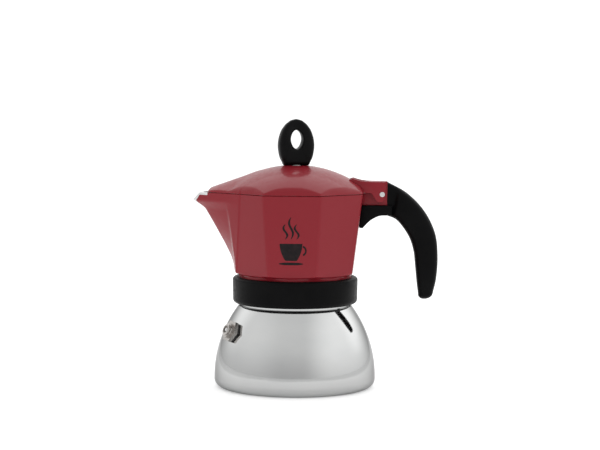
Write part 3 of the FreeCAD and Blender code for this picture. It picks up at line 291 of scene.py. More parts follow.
class Nodes:
    """A short way to build a node material."""

    def __init__(self, name):
        self.material = bpy.data.materials.new(name)
        self.material.use_nodes = True
        self.tree = self.material.node_tree
        self.tree.nodes.clear()
        self.output = self.tree.nodes.new("ShaderNodeOutputMaterial")
        self.shader = self.tree.nodes.new("ShaderNodeBsdfPrincipled")
        self.link(self.shader, "BSDF", self.output, "Surface")

    def link(self, one, out_name, two, in_name):
        self.tree.links.new(one.outputs[out_name], two.inputs[in_name])

    def set(self, **sockets):
        for name, value in sockets.items():
            self.shader.inputs[name.replace("_", " ")].default_value = value

    def noise(self, scale, detail, stretch):
        place = self.tree.nodes.new("ShaderNodeTexCoord")
        mapping = self.tree.nodes.new("ShaderNodeMapping")
        mapping.inputs["Scale"].default_value = stretch
        texture = self.tree.nodes.new("ShaderNodeTexNoise")
        texture.inputs["Scale"].default_value = scale
        texture.inputs["Detail"].default_value = detail
        texture.inputs["Roughness"].default_value = 0.55
        self.link(place, "Object", mapping, "Vector")
        self.link(mapping, "Vector", texture, "Vector")
        return texture

    def noise_range(self, scale, stretch, low, high):
        """The middle of a noise's range, spread over low to high."""
        noise = self.noise(scale, 3.0, stretch)
        return map_range(self.tree, noise.outputs["Fac"], 0.35, 0.65, low, high, smooth=False)

    def roughness(self, scale, low, high, stretch=(1, 1, 1)):
        self.tree.links.new(self.noise_range(scale, stretch, low, high), self.shader.inputs["Roughness"])

    def colour(self, scale, one, two, stretch=(1, 1, 1)):
        mix = self.tree.nodes.new("ShaderNodeMix")
        mix.data_type = "RGBA"
        mix.inputs["A"].default_value = (*one, 1)
        mix.inputs["B"].default_value = (*two, 1)
        self.tree.links.new(self.noise_range(scale, stretch, 0.0, 1.0), mix.inputs["Factor"])
        self.tree.links.new(mix.outputs[2], self.shader.inputs["Base Color"])

    def paint_shade_at_foot(self, low, high, share):
        """Painted shade: the base colour falls to a share of itself towards the foot, in place of a darker
        reflection low on the steel.
        """
        colour = self.shader.inputs["Base Color"].links[0].from_socket
        fall = map_range(self.tree, split_vector(self.tree, "Object")["Z"], low, high, share, 1.0)
        mix = self.tree.nodes.new("ShaderNodeVectorMath")
        mix.operation = "SCALE"
        self.tree.links.new(colour, mix.inputs[0])
        self.tree.links.new(fall, mix.inputs["Scale"])
        self.tree.links.new(mix.outputs[0], self.shader.inputs["Base Color"])

    def bump(self, scale, height, strength, stretch=(1, 1, 1), previous=None):
        """Fine relief, on top of a previous one if there is one."""
        noise = self.noise(scale, 2.0, stretch)
        bump = self.tree.nodes.new("ShaderNodeBump")
        bump.inputs["Strength"].default_value = strength
        bump.inputs["Distance"].default_value = height * MM
        self.link(noise, "Fac", bump, "Height")
        if previous:
            self.link(previous, "Normal", bump, "Normal")
        self.link(bump, "Normal", self.shader, "Normal")
        return bump


def polished_steel():
    nodes = Nodes("polished_steel")
    nodes.set(Metallic=1.0, Specular_Tint=(0.5, 0.5, 0.5, 1))
    nodes.colour(28, (0.585, 0.592, 0.590), (0.615, 0.620, 0.616), stretch=(1, 1, 2))
    # Painted shade: the steel's colour darkens towards its foot, standing in for a darker reflection there.
    nodes.paint_shade_at_foot(0.004, 0.030, 0.72)
    nodes.roughness(60, 0.055, 0.095, stretch=(1, 1, 12))
    nodes.bump(900, 0.003, 0.35, stretch=(1, 1, 18))
    return nodes.material


def plain_steel():
    nodes = Nodes("plain_steel")
    nodes.set(Metallic=1.0)
    nodes.colour(150, (0.60, 0.60, 0.60), (0.70, 0.70, 0.69))
    nodes.roughness(300, 0.18, 0.32)
    nodes.bump(1500, 0.004, 0.4)
    return nodes.material


def valve_brass():
    nodes = Nodes("valve_brass")
    nodes.set(Metallic=1.0)
    nodes.colour(220, (0.36, 0.345, 0.33), (0.44, 0.42, 0.40))
    nodes.roughness(260, 0.16, 0.30)
    nodes.bump(1200, 0.004, 0.35)
    return nodes.material


def bare_aluminium():
    nodes = Nodes("bare_aluminium")
    nodes.set(Metallic=1.0)
    nodes.colour(90, (0.66, 0.66, 0.665), (0.74, 0.74, 0.735))
    nodes.roughness(180, 0.30, 0.45)
    nodes.bump(700, 0.012, 0.5)
    return nodes.material


def red_coating():
    nodes = Nodes("red_coating")
    nodes.set(Metallic=0.0, IOR=1.5, Specular_IOR_Level=0.14)
    nodes.set(Coat_Weight=0.27, Coat_Roughness=0.06, Coat_IOR=1.45)
    nodes.colour(12, (0.226, 0.010, 0.018), (0.238, 0.012, 0.020))
    nodes.roughness(420, 0.34, 0.44)
    first = nodes.bump(330, 0.010, 0.35)
    nodes.bump(1800, 0.003, 0.30, previous=first)
    return nodes.material


def black_plastic(name, low, high, shine):
    """Black moulded plastic with its roughness between low and high."""
    nodes = Nodes(name)
    nodes.set(Metallic=0.0, IOR=1.3, Specular_IOR_Level=shine)
    nodes.colour(60, (0.0028, 0.0028, 0.003), (0.0042, 0.0042, 0.0044))
    nodes.roughness(500, low, high)
    nodes.bump(1400, 0.010, 0.4)
    return nodes.material


def white_silicone():
    nodes = Nodes("white_silicone")
    nodes.set(Metallic=0.0, Subsurface_Weight=0.15)
    nodes.colour(80, (0.74, 0.73, 0.70), (0.80, 0.79, 0.76))
    nodes.roughness(300, 0.45, 0.6)
    nodes.bump(900, 0.01, 0.4)
    return nodes.material


def print_ink():
    nodes = Nodes("print_ink")
    nodes.set(Metallic=0.0, Specular_IOR_Level=0.08)
    nodes.colour(400, (0.012, 0.010, 0.011), (0.020, 0.014, 0.015))
    nodes.roughness(500, 0.45, 0.6)
    return nodes.material


def black_rubber():
    nodes = Nodes("black_rubber")
    nodes.colour(80, (0.018, 0.018, 0.018), (0.026, 0.026, 0.026))
    nodes.roughness(300, 0.6, 0.75)
    nodes.bump(900, 0.01, 0.4)
    return nodes.material


STEEL = polished_steel()
PLAIN = plain_steel()
BRASS = valve_brass()
ALUMINIUM = bare_aluminium()
RED = red_coating()
BLACK = black_plastic("black_plastic", 0.36, 0.48, 0.12)
KNOB_BLACK = black_plastic("knob_plastic", 0.32, 0.44, 0.2)
SILICONE = white_silicone()
RUBBER = black_rubber()
INK = print_ink()

SLOT_MATERIALS = {
    "steel_polished": STEEL,
    "steel_plain": PLAIN,
    "heat_aluminium": ALUMINIUM,
    "brass_nickel": BRASS,
    "spring_steel": PLAIN,
    "red_enamel": RED,
    "black_plastic": BLACK,
    "knob_plastic": KNOB_BLACK,
    "seal_rubber": SILICONE,
    "valve_rubber": RUBBER,
}


def dress_cad_nodes():
    """Give every CAD node the material of its slot, and smooth shading where it is round."""
    for entry in frame["record"]["subparts"]:
        item = frame["nodes"][entry["node"]]
        item.data.materials.clear()
        item.data.materials.append(SLOT_MATERIALS[entry["material_slot"]])
        item.data.polygons.foreach_set("material_index", [0] * len(item.data.polygons))
        item.data.polygons.foreach_set("use_smooth", [True] * len(item.data.polygons))
        sharpen(item, 25)


# ---- jug -----------------------------------------------------------------------------------------


def wall_apothem(level):
    slope = (RIM_APOTHEM - FOOT_APOTHEM) / (RIM_LEVEL - FOOT_LEVEL)
    return FOOT_APOTHEM + slope * (np.asarray(level, float) - FOOT_LEVEL)


def octagon_reach(angles, apothem, sharpness=130.0):
    """Distance from the axis to an octagon with softened corners, flats facing X and Y."""
    total = 0.0
    for side in range(8):
        facing = np.clip(np.cos(angles - side * math.pi / 4), 0, None)
        total = total + (facing / apothem) ** sharpness
    return total ** (-1 / sharpness)


def beak_reach(angles, level, inset=0.0):
    """Distance from the axis to the two side planes of the beak and its rounded keel."""
    share = (np.asarray(level, float) - FOOT_LEVEL) / (RIM_LEVEL - FOOT_LEVEL)
    soft_heights = np.array(KEEL_HEIGHTS)
    overhang = np.interp(share, soft_heights, KEEL_SHARES)
    for reach in (0.012, 0.008):
        overhang = (overhang + np.interp(share - reach, soft_heights, KEEL_SHARES)
                    + np.interp(share + reach, soft_heights, KEEL_SHARES)) / 3
    overhang = np.clip(overhang, 0, 1.0)
    foot_half_width = FOOT_APOTHEM * math.tan(math.pi / 8)
    wall = wall_apothem(level)
    keel = FOOT_APOTHEM + overhang * (SPOUT_REACH - FOOT_APOTHEM) - 1.15 * inset
    half_width = foot_half_width + share * (SPOUT_ROOT - foot_half_width) - 1.3 * inset
    root = np.minimum(np.minimum(wall - inset, math.sqrt(2) * (wall - inset) - half_width), keel - 0.3)
    point = np.arctan2(half_width, keel - root + 1)
    sharpness = np.clip(math.log(2) / np.log1p(SPOUT_NOSE * (1 / np.sin(point) - 1) / keel), 8, 260)
    apex = keel * 2 ** (1 / sharpness)
    length = np.hypot(half_width, apex - root)
    normal_out, normal_side = half_width / length, (apex - root) / length
    distance = normal_out * apex
    outward, sideways = -np.cos(angles), np.sin(angles)
    left = np.clip((normal_out * outward + normal_side * sideways) / distance, 1e-6, None)
    right = np.clip((normal_out * outward - normal_side * sideways) / distance, 1e-6, None)
    biggest = np.maximum(left, right)
    blunting = ((left / biggest) ** sharpness + (right / biggest) ** sharpness) ** (1 / sharpness)
    reach = 1 / (biggest * blunting)
    reach = np.minimum(reach, half_width / np.maximum(np.abs(sideways), 0.01))
    return np.where(outward > math.cos(math.radians(50)), reach, 0.0)


def jug_reach(angles, level, inset=0.0):
    """Distance from the axis to the jug's wall, or to its inside when drawn in."""
    wall_inset = inset * JUG_WALL / SPOUT_WALL
    wall = octagon_reach(angles, wall_apothem(level) - wall_inset)
    return smooth_max(wall, beak_reach(angles, level, inset), 1.4)


def lip_level(angles, reach):
    """Height of the rim, which drops along the beak's slanted lip."""
    along = -np.cos(angles) * reach
    start, end = SPOUT_REACH - 4.6, SPOUT_REACH + 0.6
    drop = 5.4 * np.clip((along - start) / (end - start), 0, 2)
    soft = 0.5 * (drop + np.sqrt(drop ** 2 + 0.05)) - 0.11
    return RIM_LEVEL - np.maximum(soft, 0)


def jug_rows():
    """Rings of the jug from the top of its column, over the rim and outside, to the top of its bore."""
    angles = np.arange(AROUND) * 2 * math.pi / AROUND
    rows = []

    def ring(radius, level, kind):
        radius = np.broadcast_to(np.asarray(radius, float), angles.shape)
        level = np.broadcast_to(np.asarray(level, float), angles.shape)
        rows.append((radius, level, kind))

    for radius, level in ((3.4, COLUMN_TOP), (4.2, COLUMN_TOP - 0.02), (4.7, COLUMN_TOP - 0.2),
                          (5.0, COLUMN_TOP - 0.5), (5.15, COLUMN_TOP - 1.1), (5.22, COLUMN_BORE_TOP),
                          (5.25, COLUMN_BORE_TOP - 0.6), (5.45, OUTLET_FOOT), (5.6, 92), (6.1, 84),
                          (6.8, 76), (7.4, 71.6), (7.9, 70.6), (8.9, 69.9), (10.6, 69.4), (14, 68.6),
                          (19, 67.6), (24, 66.9)):
        ring(radius, level, "inside")
    wall_start = JUG_FLOOR + 1.8
    inner_foot = jug_reach(angles, wall_start, SPOUT_WALL)
    for back, up in ((3.0, 0.25), (1.6, 0.4), (0.7, 0.8), (0.2, 1.3)):
        ring(inner_foot - back, JUG_FLOOR + up, "inside")
    top = lip_level(angles, jug_reach(angles, RIM_LEVEL - 1))
    for share in np.linspace(0, 1, 40):
        level = wall_start + share * (top - 0.6 - wall_start)
        ring(jug_reach(angles, level, SPOUT_WALL), level, "inside")
    outer_top = jug_reach(angles, top)
    inner_top = jug_reach(angles, top, SPOUT_WALL)
    for inward, down in ((0.0, 0.25), (0.16, 0.08), (0.4, 0.0)):
        ring(inner_top + inward, top - down, "rim")
    for inward, down in ((0.45, 0.0), (0.18, 0.08), (0.03, 0.3)):
        ring(outer_top - inward, top - down, "rim")
    ring(jug_reach(angles, top - 0.5), top - 0.5, "rim")
    foot_reach = jug_reach(angles, FOOT_LEVEL + 0.8)
    edge = FOOT_LEVEL + FOOT_CONE * (foot_reach - NECK_RADIUS)
    band = 1.3 + 0.9 * np.clip(RIM_LEVEL - top, 0, 1)
    ring(jug_reach(angles, top - band), top - band, "rim")
    for share in np.linspace(1, 0, 60):
        level = edge + 0.55 + share * (top - band - 0.2 - edge - 0.55)
        ring(jug_reach(angles, level), level, "outside")
    ring(foot_reach - 0.05, edge + 0.28, "outside")
    ring(foot_reach - 0.2, edge + 0.1, "outside")
    ring(foot_reach - 0.5, edge - 0.05, "outside")
    for share in (0.6, 0.3, 0.12):
        ring(NECK_RADIUS + share * (foot_reach - 0.5 - NECK_RADIUS), FOOT_LEVEL - 0.1
             + share * FOOT_CONE * (foot_reach - NECK_RADIUS), "outside")
    for level in (FOOT_LEVEL - 0.6, 62.0, 56.0, jug_low.z + 0.3):
        ring(NECK_RADIUS, level, "outside")
    for radius, level in ((NECK_RADIUS - 0.3, jug_low.z), (THREAD_BORE + 0.2, jug_low.z),
                          (THREAD_BORE, jug_low.z + 0.2), (THREAD_BORE, 56), (THREAD_BORE, GASKET_SEAT - 0.1),
                          (THREAD_BORE - 0.1, GASKET_SEAT), (26.6, GASKET_SEAT), (26.3, GASKET_SEAT + 0.1),
                          (15, 65.9), (3.6, 68.6), (COLUMN_BORE, 69.0), (COLUMN_BORE, 82),
                          (COLUMN_BORE, OUTLET_FOOT), (COLUMN_BORE, COLUMN_BORE_TOP - 0.4),
                          (COLUMN_BORE - 0.3, COLUMN_BORE_TOP)):
        ring(radius, level, "inside")
    return angles, rows


def helical_ridge(radius, depth, root, crest, start, turns, pitch, steps_per_turn=96):
    """Points and faces of a closed screw ridge standing in from a bore."""
    steps = int(turns * steps_per_turn)
    back, front = radius + 0.3, radius - depth
    section = ((back, -root / 2), (back, root / 2), (front, crest / 2), (front, -crest / 2))
    points = []
    for step in range(steps + 1):
        angle = 2 * math.pi * step / steps_per_turn
        lift = start + pitch * step / steps_per_turn
        points += [(r * math.cos(angle), r * math.sin(angle), lift + z) for r, z in section]
    faces = grid_faces(steps + 1, 4)
    faces += [(0, 1, 2, 3), tuple(steps * 4 + index for index in (3, 2, 1, 0))]
    return points, faces


def cut_outlets(rows, faces, kinds):
    """Open two facing windows near the column's top, and close the edges of its wall there."""
    window_rows = [
        index for index, (radius, level, kind) in enumerate(rows)
        if radius.max() < 5.5 and OUTLET_FOOT - 0.1 < level.mean() < COLUMN_BORE_TOP + 0.1
        and radius.min() > COLUMN_BORE - 0.1]
    outer = [index for index in window_rows if rows[index][0].min() > 4]
    inner = [index for index in window_rows if rows[index][0].min() < 4]
    starts = [quarter * AROUND // 4 - OUTLET_HALF_COLUMNS for quarter in (1, 3)]
    removed = set()
    for start in starts:
        for band in (outer, inner):
            for row in range(min(band), max(band)):
                for column in range(start, start + 2 * OUTLET_HALF_COLUMNS):
                    removed.add(row * AROUND + column)
    kept = [index for index in range(len(faces)) if index not in removed]
    faces = [faces[index] for index in kept]
    kinds = [kinds[index] for index in kept]
    for start in starts:
        end = start + 2 * OUTLET_HALF_COLUMNS
        for outer_row, inner_row in ((min(outer), max(inner)), (max(outer), min(inner))):
            for column in range(start, end):
                faces.append((outer_row * AROUND + column, outer_row * AROUND + column + 1,
                              inner_row * AROUND + column + 1, inner_row * AROUND + column))
                kinds.append("inside")
        for column in (start, end):
            loop = [row * AROUND + column for row in range(min(outer), max(outer) + 1)]
            loop += [row * AROUND + column for row in range(min(inner), max(inner) + 1)]
            faces.append(tuple(loop))
            kinds.append("inside")
    return faces, kinds


def make_jug():
    """The cast jug with its beak, its column and its thread."""
    angles, rows = jug_rows()
    cosines, sines = np.cos(angles), np.sin(angles)
    points = np.concatenate([
        np.stack([radius * cosines, radius * sines, level], axis=1) for radius, level, kind in rows])
    faces = grid_faces(len(rows), AROUND)
    kinds = [rows[index // AROUND][2] for index in range(len(faces))]
    faces, kinds = cut_outlets(rows, faces, kinds)
    first_pole, last_pole = len(points), len(points) + 1
    points = np.concatenate([points, [(0, 0, COLUMN_TOP), (0, 0, COLUMN_BORE_TOP)]])
    last = (len(rows) - 1) * AROUND
    for column in range(AROUND):
        beside = (column + 1) % AROUND
        faces.append((first_pole, beside, column))
        faces.append((last_pole, last + column, last + beside))
        kinds += ["inside", "inside"]
    ridge_points, ridge_faces = helical_ridge(
        THREAD_BORE, depth=0.95, root=1.3, crest=0.5, start=THREAD_START, turns=2.2, pitch=THREAD_PITCH)
    shift = len(points)
    points = np.concatenate([points, ridge_points])
    faces += [tuple(index + shift for index in face) for face in ridge_faces]
    kinds += ["inside"] * len(ridge_faces)
    indices = []
    for face, kind in zip(faces, kinds):
        at_lip = -points[face[0]][0] > SPOUT_REACH - 9.5
        painted = kind == "outside" or (kind == "rim" and not at_lip)
        indices.append(0 if painted else 1)
    jug = new_object("collector_casting", points, faces, [RED, ALUMINIUM], indices)
    face_outward(jug)
    sharpen(jug, 50)
    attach(jug, "collector")
    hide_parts("collector_jug")


def make_lug():
    """The lug that carries the hinge pin and the handle."""
    front_top = hinge.x - 8.0
    lug_end = jug_high.x + LUG_INTO_HANDLE
    corners = [
        (RIM_APOTHEM - 2.4, LUG_FOOT), (lug_end, LUG_FOOT), (lug_end, jug_high.z),
        (front_top, jug_high.z), (RIM_APOTHEM + 1.3, RIM_LEVEL), (RIM_APOTHEM - 1.4, RIM_LEVEL),
    ]
    lug = plate("hinge_lug", corners, LUG_HALF_WIDTH, 0.2, RED)
    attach(lug, "collector")
    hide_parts("collector_jug")


# ---- lid -----------------------------------------------------------------------------------------


def lid_reach(angles, inset=0.0):
    """Distance from the axis to the lid's edge."""
    octagon = octagon_reach(angles, RIM_APOTHEM + 0.1 - inset)
    roof = beak_reach(angles, RIM_LEVEL, inset)
    cut = (ROOF_END - inset) / np.clip(-np.cos(angles), 1e-3, None)
    roof = np.where(roof > 0, -smooth_max(-roof, -cut, 1.6), 0)
    return smooth_max(octagon, roof, 1.2)


def lid_level(x, y):
    """Height of the lid's upper face: a dome, with a crowned roof that runs out over the beak."""
    distance = np.sqrt(x ** 2 + y ** 2)
    dome = lid_high.z + DOME_CROWN - DOME_RADIUS + np.sqrt(np.clip(DOME_RADIUS ** 2 - distance ** 2, 1, None))
    dome = -smooth_max(-dome, np.full_like(dome, -lid_high.z), 0.15)
    crown = ROOF_CROWN_RADIUS - np.sqrt(ROOF_CROWN_RADIUS ** 2 - np.clip(y, -30, 30) ** 2)
    roof = ROOF_RIDGE_LEVEL + math.tan(ROOF_SLOPE) * (x + ROOF_RIDGE_REACH) - crown / math.cos(ROOF_SLOPE)
    roof = roof - 0.03 * np.clip(x + 24, 0, None) ** 2
    roof = np.where(x < -5, roof, 0.0)
    return smooth_max(dome, roof, 0.8)


def make_lid():
    """The pressed lid: its upper face, its rounded edge, and its bare underside."""
    angles = np.arange(AROUND) * 2 * math.pi / AROUND
    edge = lid_reach(angles)
    inner_edge = lid_reach(angles, 2.0)
    cosines, sines = np.cos(angles), np.sin(angles)
    rows = []

    def ring(radius, level):
        level = np.broadcast_to(level, angles.shape)
        rows.append(np.stack([radius * cosines, radius * sines, level], axis=1))

    brow = np.clip(lid_level((edge - 1) * cosines, (edge - 1) * sines) - LID_FOOT - 0.5, 0.5, 2.6)
    for share in np.linspace(0, 1, 62):
        radius = LID_HOLE + share * (edge - brow - LID_HOLE)
        ring(radius, lid_level(radius * cosines, radius * sines))
    for turn in np.radians((9, 18, 28, 38, 48, 58, 67, 75, 83, 90)):
        radius = edge - brow + brow * math.sin(turn)
        level = lid_level(radius * cosines, radius * sines) - brow * (1 - math.cos(turn))
        ring(radius, np.maximum(level, LID_FOOT + 0.28 + 0.1 * math.cos(turn)))
    ring(edge, np.full_like(edge, LID_FOOT + 0.25))
    ring(edge - 0.08, np.full_like(edge, LID_FOOT + 0.06))
    ring(edge - 0.3, np.full_like(edge, LID_FOOT))
    painted_rows = len(rows)
    ring(inner_edge + 0.2, np.full_like(edge, LID_FOOT))
    ring(inner_edge, np.full_like(edge, LID_FOOT + 0.2))
    under = lid_level((inner_edge - 0.5) * cosines, (inner_edge - 0.5) * sines) - 2.1
    under = np.maximum(under, LID_FOOT + 0.5)
    ring(inner_edge, np.maximum(under - 0.6, LID_FOOT + 0.3))
    for share in np.linspace(0.985, 0, 50):
        radius = LID_HOLE + share * (inner_edge - 0.4 - LID_HOLE)
        level = lid_level(radius * cosines, radius * sines) - 2.05
        ring(radius, np.maximum(np.where(radius < 5.8, lid_high.z - 2.0, level), LID_FOOT + 0.5))
    points = np.concatenate(rows)
    faces = grid_faces(len(rows), AROUND, close_rows=True)
    lid = new_object("lid_casting", points, faces, [RED, ALUMINIUM],
                     [0 if index // AROUND < painted_rows else 1 for index in range(len(faces))])
    face_outward(lid)
    sharpen(lid, 50)
    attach(lid, "lid")
    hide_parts("lid")


def make_lid_arms():
    """The two arms that hold the hinge pin on either side of the lug."""
    x, z = hinge.x, hinge.z
    corners = [
        (RIM_APOTHEM - 6.5, LID_FOOT + 1.5), (RIM_APOTHEM - 3.3, LID_FOOT + 0.3), (x - 9.4, LID_FOOT + 0.3)]
    corners += rounded_corner((x - 9, LID_FOOT), (x - 6.4, LID_FOOT + 0.3), (x - 3.6, z - 3.6), 1.6)
    corners += rounded_corner((x - 5.8, z + 1), (x - 3.2, z - 4.3), (x + 1.4, z - 4.3), 1.2)
    corners += rounded_corner((x - 2.7, z - 4.3), (x + 0.9, z - 4.3), (x + 1.9, z + 1.8), 2.2)
    corners += rounded_corner((x + 0.9, z - 4.3), (x + 1.9, z + 1.6), (x + 1.9, z + 4.6), 2.0)
    corners += rounded_corner((x + 1.9, z + 1.2), (x + 1.9, z + 7.2), (x - 8, z + 7.3), 0.9)
    corners += [
        (x - 5, z + 7.25), (x - 9, z + 7.35), (x - 12, z + 7.7), (x - 14.5, z + 8.3), (x - 17, z + 9.1),
        (x - 19, z + 8.6), (x - 19, z + 6.6)]
    for side in (-1, 1):
        name = "lid_arm_near" if side < 0 else "lid_arm_far"
        arm = plate(name, corners, ARM_HALF_WIDTH, 0.2, RED, centre_y=side * ARM_SPACING)
        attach(arm, "lid")
        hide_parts("lid")


# ---- knob ----------------------------------------------------------------------------------------


def knob_outline(base, height):
    """The knob's edge seen from the front, as bearings from the middle of its eye and distances."""
    levels = np.linspace(0, 1, 400)
    widths = spline(KNOB_SHARES, KNOB_WIDTHS, levels) * KNOB_HALF_WIDTH
    half = np.concatenate([
        np.stack([np.linspace(0, widths[0], 40), np.full(40, base)], axis=1),
        np.stack([widths, base + levels * height], axis=1)])
    outline = np.concatenate([half, half[::-1] * (-1, 1)])
    bearings = np.unwrap(np.arctan2(outline[:, 1] - KNOB_EYE_LEVEL, outline[:, 0]))
    return bearings, np.hypot(outline[:, 0], outline[:, 1] - KNOB_EYE_LEVEL)


def signed_power(value, power):
    return math.copysign(abs(value) ** power, value)


def make_knob():
    """An upright ring with an oval eye, thicker at its foot, turned on its screw."""
    base = knob_low.z
    height = knob_high.z - base - 0.02
    ring_steps, section_steps = 144, 40
    bearings, reaches = knob_outline(base, height)
    points = []
    for step in range(ring_steps):
        bearing = -math.pi / 2 + 2 * math.pi * step / ring_steps
        direction = np.array([math.cos(bearing), math.sin(bearing)])
        reach = np.interp(bearing, bearings, reaches)
        flatness = ((abs(direction[0]) / KNOB_EYE_HALF_WIDTH) ** KNOB_EYE_FULLNESS
                    + (abs(direction[1]) / KNOB_EYE_HALF_HEIGHT) ** KNOB_EYE_FULLNESS)
        eye = 1 / flatness ** (1 / KNOB_EYE_FULLNESS)
        edge_level = KNOB_EYE_LEVEL + direction[1] * reach
        share = np.clip((edge_level - base) / height, 0, 1)
        depth = spline(KNOB_SHARES, KNOB_DEPTHS, [share])[0] * KNOB_HALF_DEPTH
        foot = np.clip((base + KNOB_FOOT_HEIGHT - edge_level) / KNOB_FOOT_HEIGHT, 0, 1)
        for turn in range(section_steps):
            angle = 2 * math.pi * turn / section_steps
            fullness = (0.80 - 0.45 * foot) if math.cos(angle) > 0 else 0.42
            along = signed_power(math.cos(angle), fullness) * (reach - eye) / 2
            across = signed_power(math.sin(angle), 0.70) * depth
            spot = direction * ((reach + eye) / 2 + along)
            points.append((
                spot[0] * math.cos(KNOB_TURN) - across * math.sin(KNOB_TURN),
                spot[0] * math.sin(KNOB_TURN) + across * math.cos(KNOB_TURN),
                max(KNOB_EYE_LEVEL + spot[1], base)))
    faces = grid_faces(ring_steps, section_steps, close_rows=True)
    knob = new_object("knob_ring", points, faces, [KNOB_BLACK])
    face_outward(knob)
    sharpen(knob, 55)
    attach(knob, "lid")
    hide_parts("knob")


# ---- print on the front facet --------------------------------------------------------------------


def level_pair(middle, half, level):
    """Left and right ends of a level line."""
    return (middle - half, level), (middle + half, level)


def strip(pairs, name):
    """A flat strip of ink on the front facet, from pairs of (x, level)."""
    points = []
    for pair in pairs:
        points += [(x, -(float(wall_apothem(level)) + PRINT_RAISE), level) for x, level in pair]
    faces = [(2 * row, 2 * row + 1, 2 * row + 3, 2 * row + 2) for row in range(len(pairs) - 1)]
    item = new_object(name, points, faces, [INK])
    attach(item, "collector")


def make_print():
    """A plain printed motif: a cup on a saucer with rising steam."""
    cup = []
    for share in np.linspace(0, 1, 25):
        half = 3.1 + 3.3 * math.sin(math.pi / 2 * share) ** 0.8
        cup.append(level_pair(PRINT_MIDDLE, half, 76.6 + 9.8 * share))
    strip(cup, "print_cup")
    saucer = []
    for share in np.linspace(-1, 1, 17):
        half = 6.9 * math.sqrt(1 - (0.92 * share) ** 2)
        saucer.append(level_pair(PRINT_MIDDLE, half, 74.9 + 0.75 * share))
    strip(saucer, "print_saucer")
    ear = []
    for angle in np.radians(np.linspace(-75, 75, 25)):
        ear.append([(5.6 + 0.9 * reach * math.cos(angle), 82.4 + 1.05 * reach * math.sin(angle))
                    for reach in (1.9, 2.9)])
    strip(ear, "print_ear")
    foot = 89.0
    for index, (aside, height) in enumerate(((-3.2, 8.5), (0.0, 12.5), (3.2, 8.5)), start=1):
        steam = []
        for share in np.linspace(0, 1, 33):
            sway = 1.1 * math.sin(2 * math.pi * share)
            half = 0.12 + 0.55 * abs(math.sin(math.pi * share)) ** 0.7
            steam.append(level_pair(PRINT_MIDDLE + aside + sway, half, foot + share * height))
        strip(steam, "print_steam_%d" % index)


# ---- handle --------------------------------------------------------------------------------------


def handle_sections():
    """Outer edge, inner edge and half width of the grip at stations from the lug to its round tip."""
    knots = np.arange(len(HANDLE_SHARES))
    places = np.linspace(0, knots[-1], 73)
    outer, inner = (
        np.stack([spline(knots, [row[axis] for row in track], places) for axis in (0, 1)], axis=1)
        for track in (HANDLE_OUTER, HANDLE_INNER))
    widths = spline(knots, HANDLE_SHARES, places) * HANDLE_HALF_WIDTH
    neck = np.clip((outer[:, 0] - HANDLE_NECK_END) / HANDLE_NECK_BLEND, 0, 1)
    past_lug = np.maximum(widths - LUG_HALF_WIDTH, 0)
    widths = LUG_HALF_WIDTH + past_lug * neck ** 2 * (3 - 2 * neck)
    centre, along, width = (outer[-1] + inner[-1]) / 2, (outer[-1] - inner[-1]) / 2, widths[-1]
    down = np.array([-0.10, -1.0]) * HANDLE_TIP_LENGTH
    tip_steps = 14
    for step in range(1, tip_steps + 1):
        angle = math.pi / 2 * step / tip_steps
        outer = np.append(outer, [centre + along * math.cos(angle) + down * math.sin(angle)], axis=0)
        inner = np.append(inner, [centre - along * math.cos(angle) + down * math.sin(angle)], axis=0)
        widths = np.append(widths, width * max(math.cos(angle), 0.02))
    return outer, inner, widths


def make_grip():
    """The curved grip, with sections between an oval and a rectangle."""
    outer, inner, widths = handle_sections()
    section_steps = 40
    points = []
    for outer_spot, inner_spot, width in zip(outer, inner, widths):
        centre, along = (outer_spot + inner_spot) / 2, (outer_spot - inner_spot) / 2
        for turn in range(section_steps):
            angle = 2 * math.pi * (turn + 0.5) / section_steps
            spot = centre + along * signed_power(math.cos(angle), 0.72)
            points.append((spot[0], signed_power(math.sin(angle), 0.66) * width, spot[1]))
    faces = grid_faces(len(outer), section_steps)
    faces.append(tuple(range(section_steps)))
    faces.append(tuple((len(outer) - 1) * section_steps + turn for turn in reversed(range(section_steps))))
    grip = new_object("handle_grip", points, faces, [BLACK])
    face_outward(grip)
    sharpen(grip, 50)
    return grip


def make_jaw():
    """The jaw under the lug, which bears on the jug's wall."""
    foot = LUG_FOOT - JAW_HEIGHT
    low, high = float(wall_apothem(foot)), float(wall_apothem(LUG_FOOT))
    corners = [(high, LUG_FOOT)]
    corners += rounded_corner((high, LUG_FOOT), (low, foot - 0.6), (low + 2.6, foot - 1.0), 0.7)
    corners += rounded_corner((low, foot), (low + 2.0, foot - 1.0), (low + 6.5, foot + 3.6), 0.8)
    knots, places = (0, 0.33, 0.66, 1), np.linspace(0, 1, 9)
    corners += list(zip(spline(knots, [low + 5.0, low + 7.5, low + 12, JAW_END - 1.5], places),
                        spline(knots, [foot + 2.2, foot + 4.3, foot + 6.4, foot + 6.6], places)))
    corners += [(JAW_END, foot + 6.3), (JAW_END, LUG_FOOT)]
    return plate("handle_jaw", corners, JAW_HALF_WIDTH, 1.6, BLACK)


def make_handle():
    for item in (make_grip(), make_jaw()):
        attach(item, "collector")
        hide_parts("handle")


# ---- studio --------------------------------------------------------------------------------------


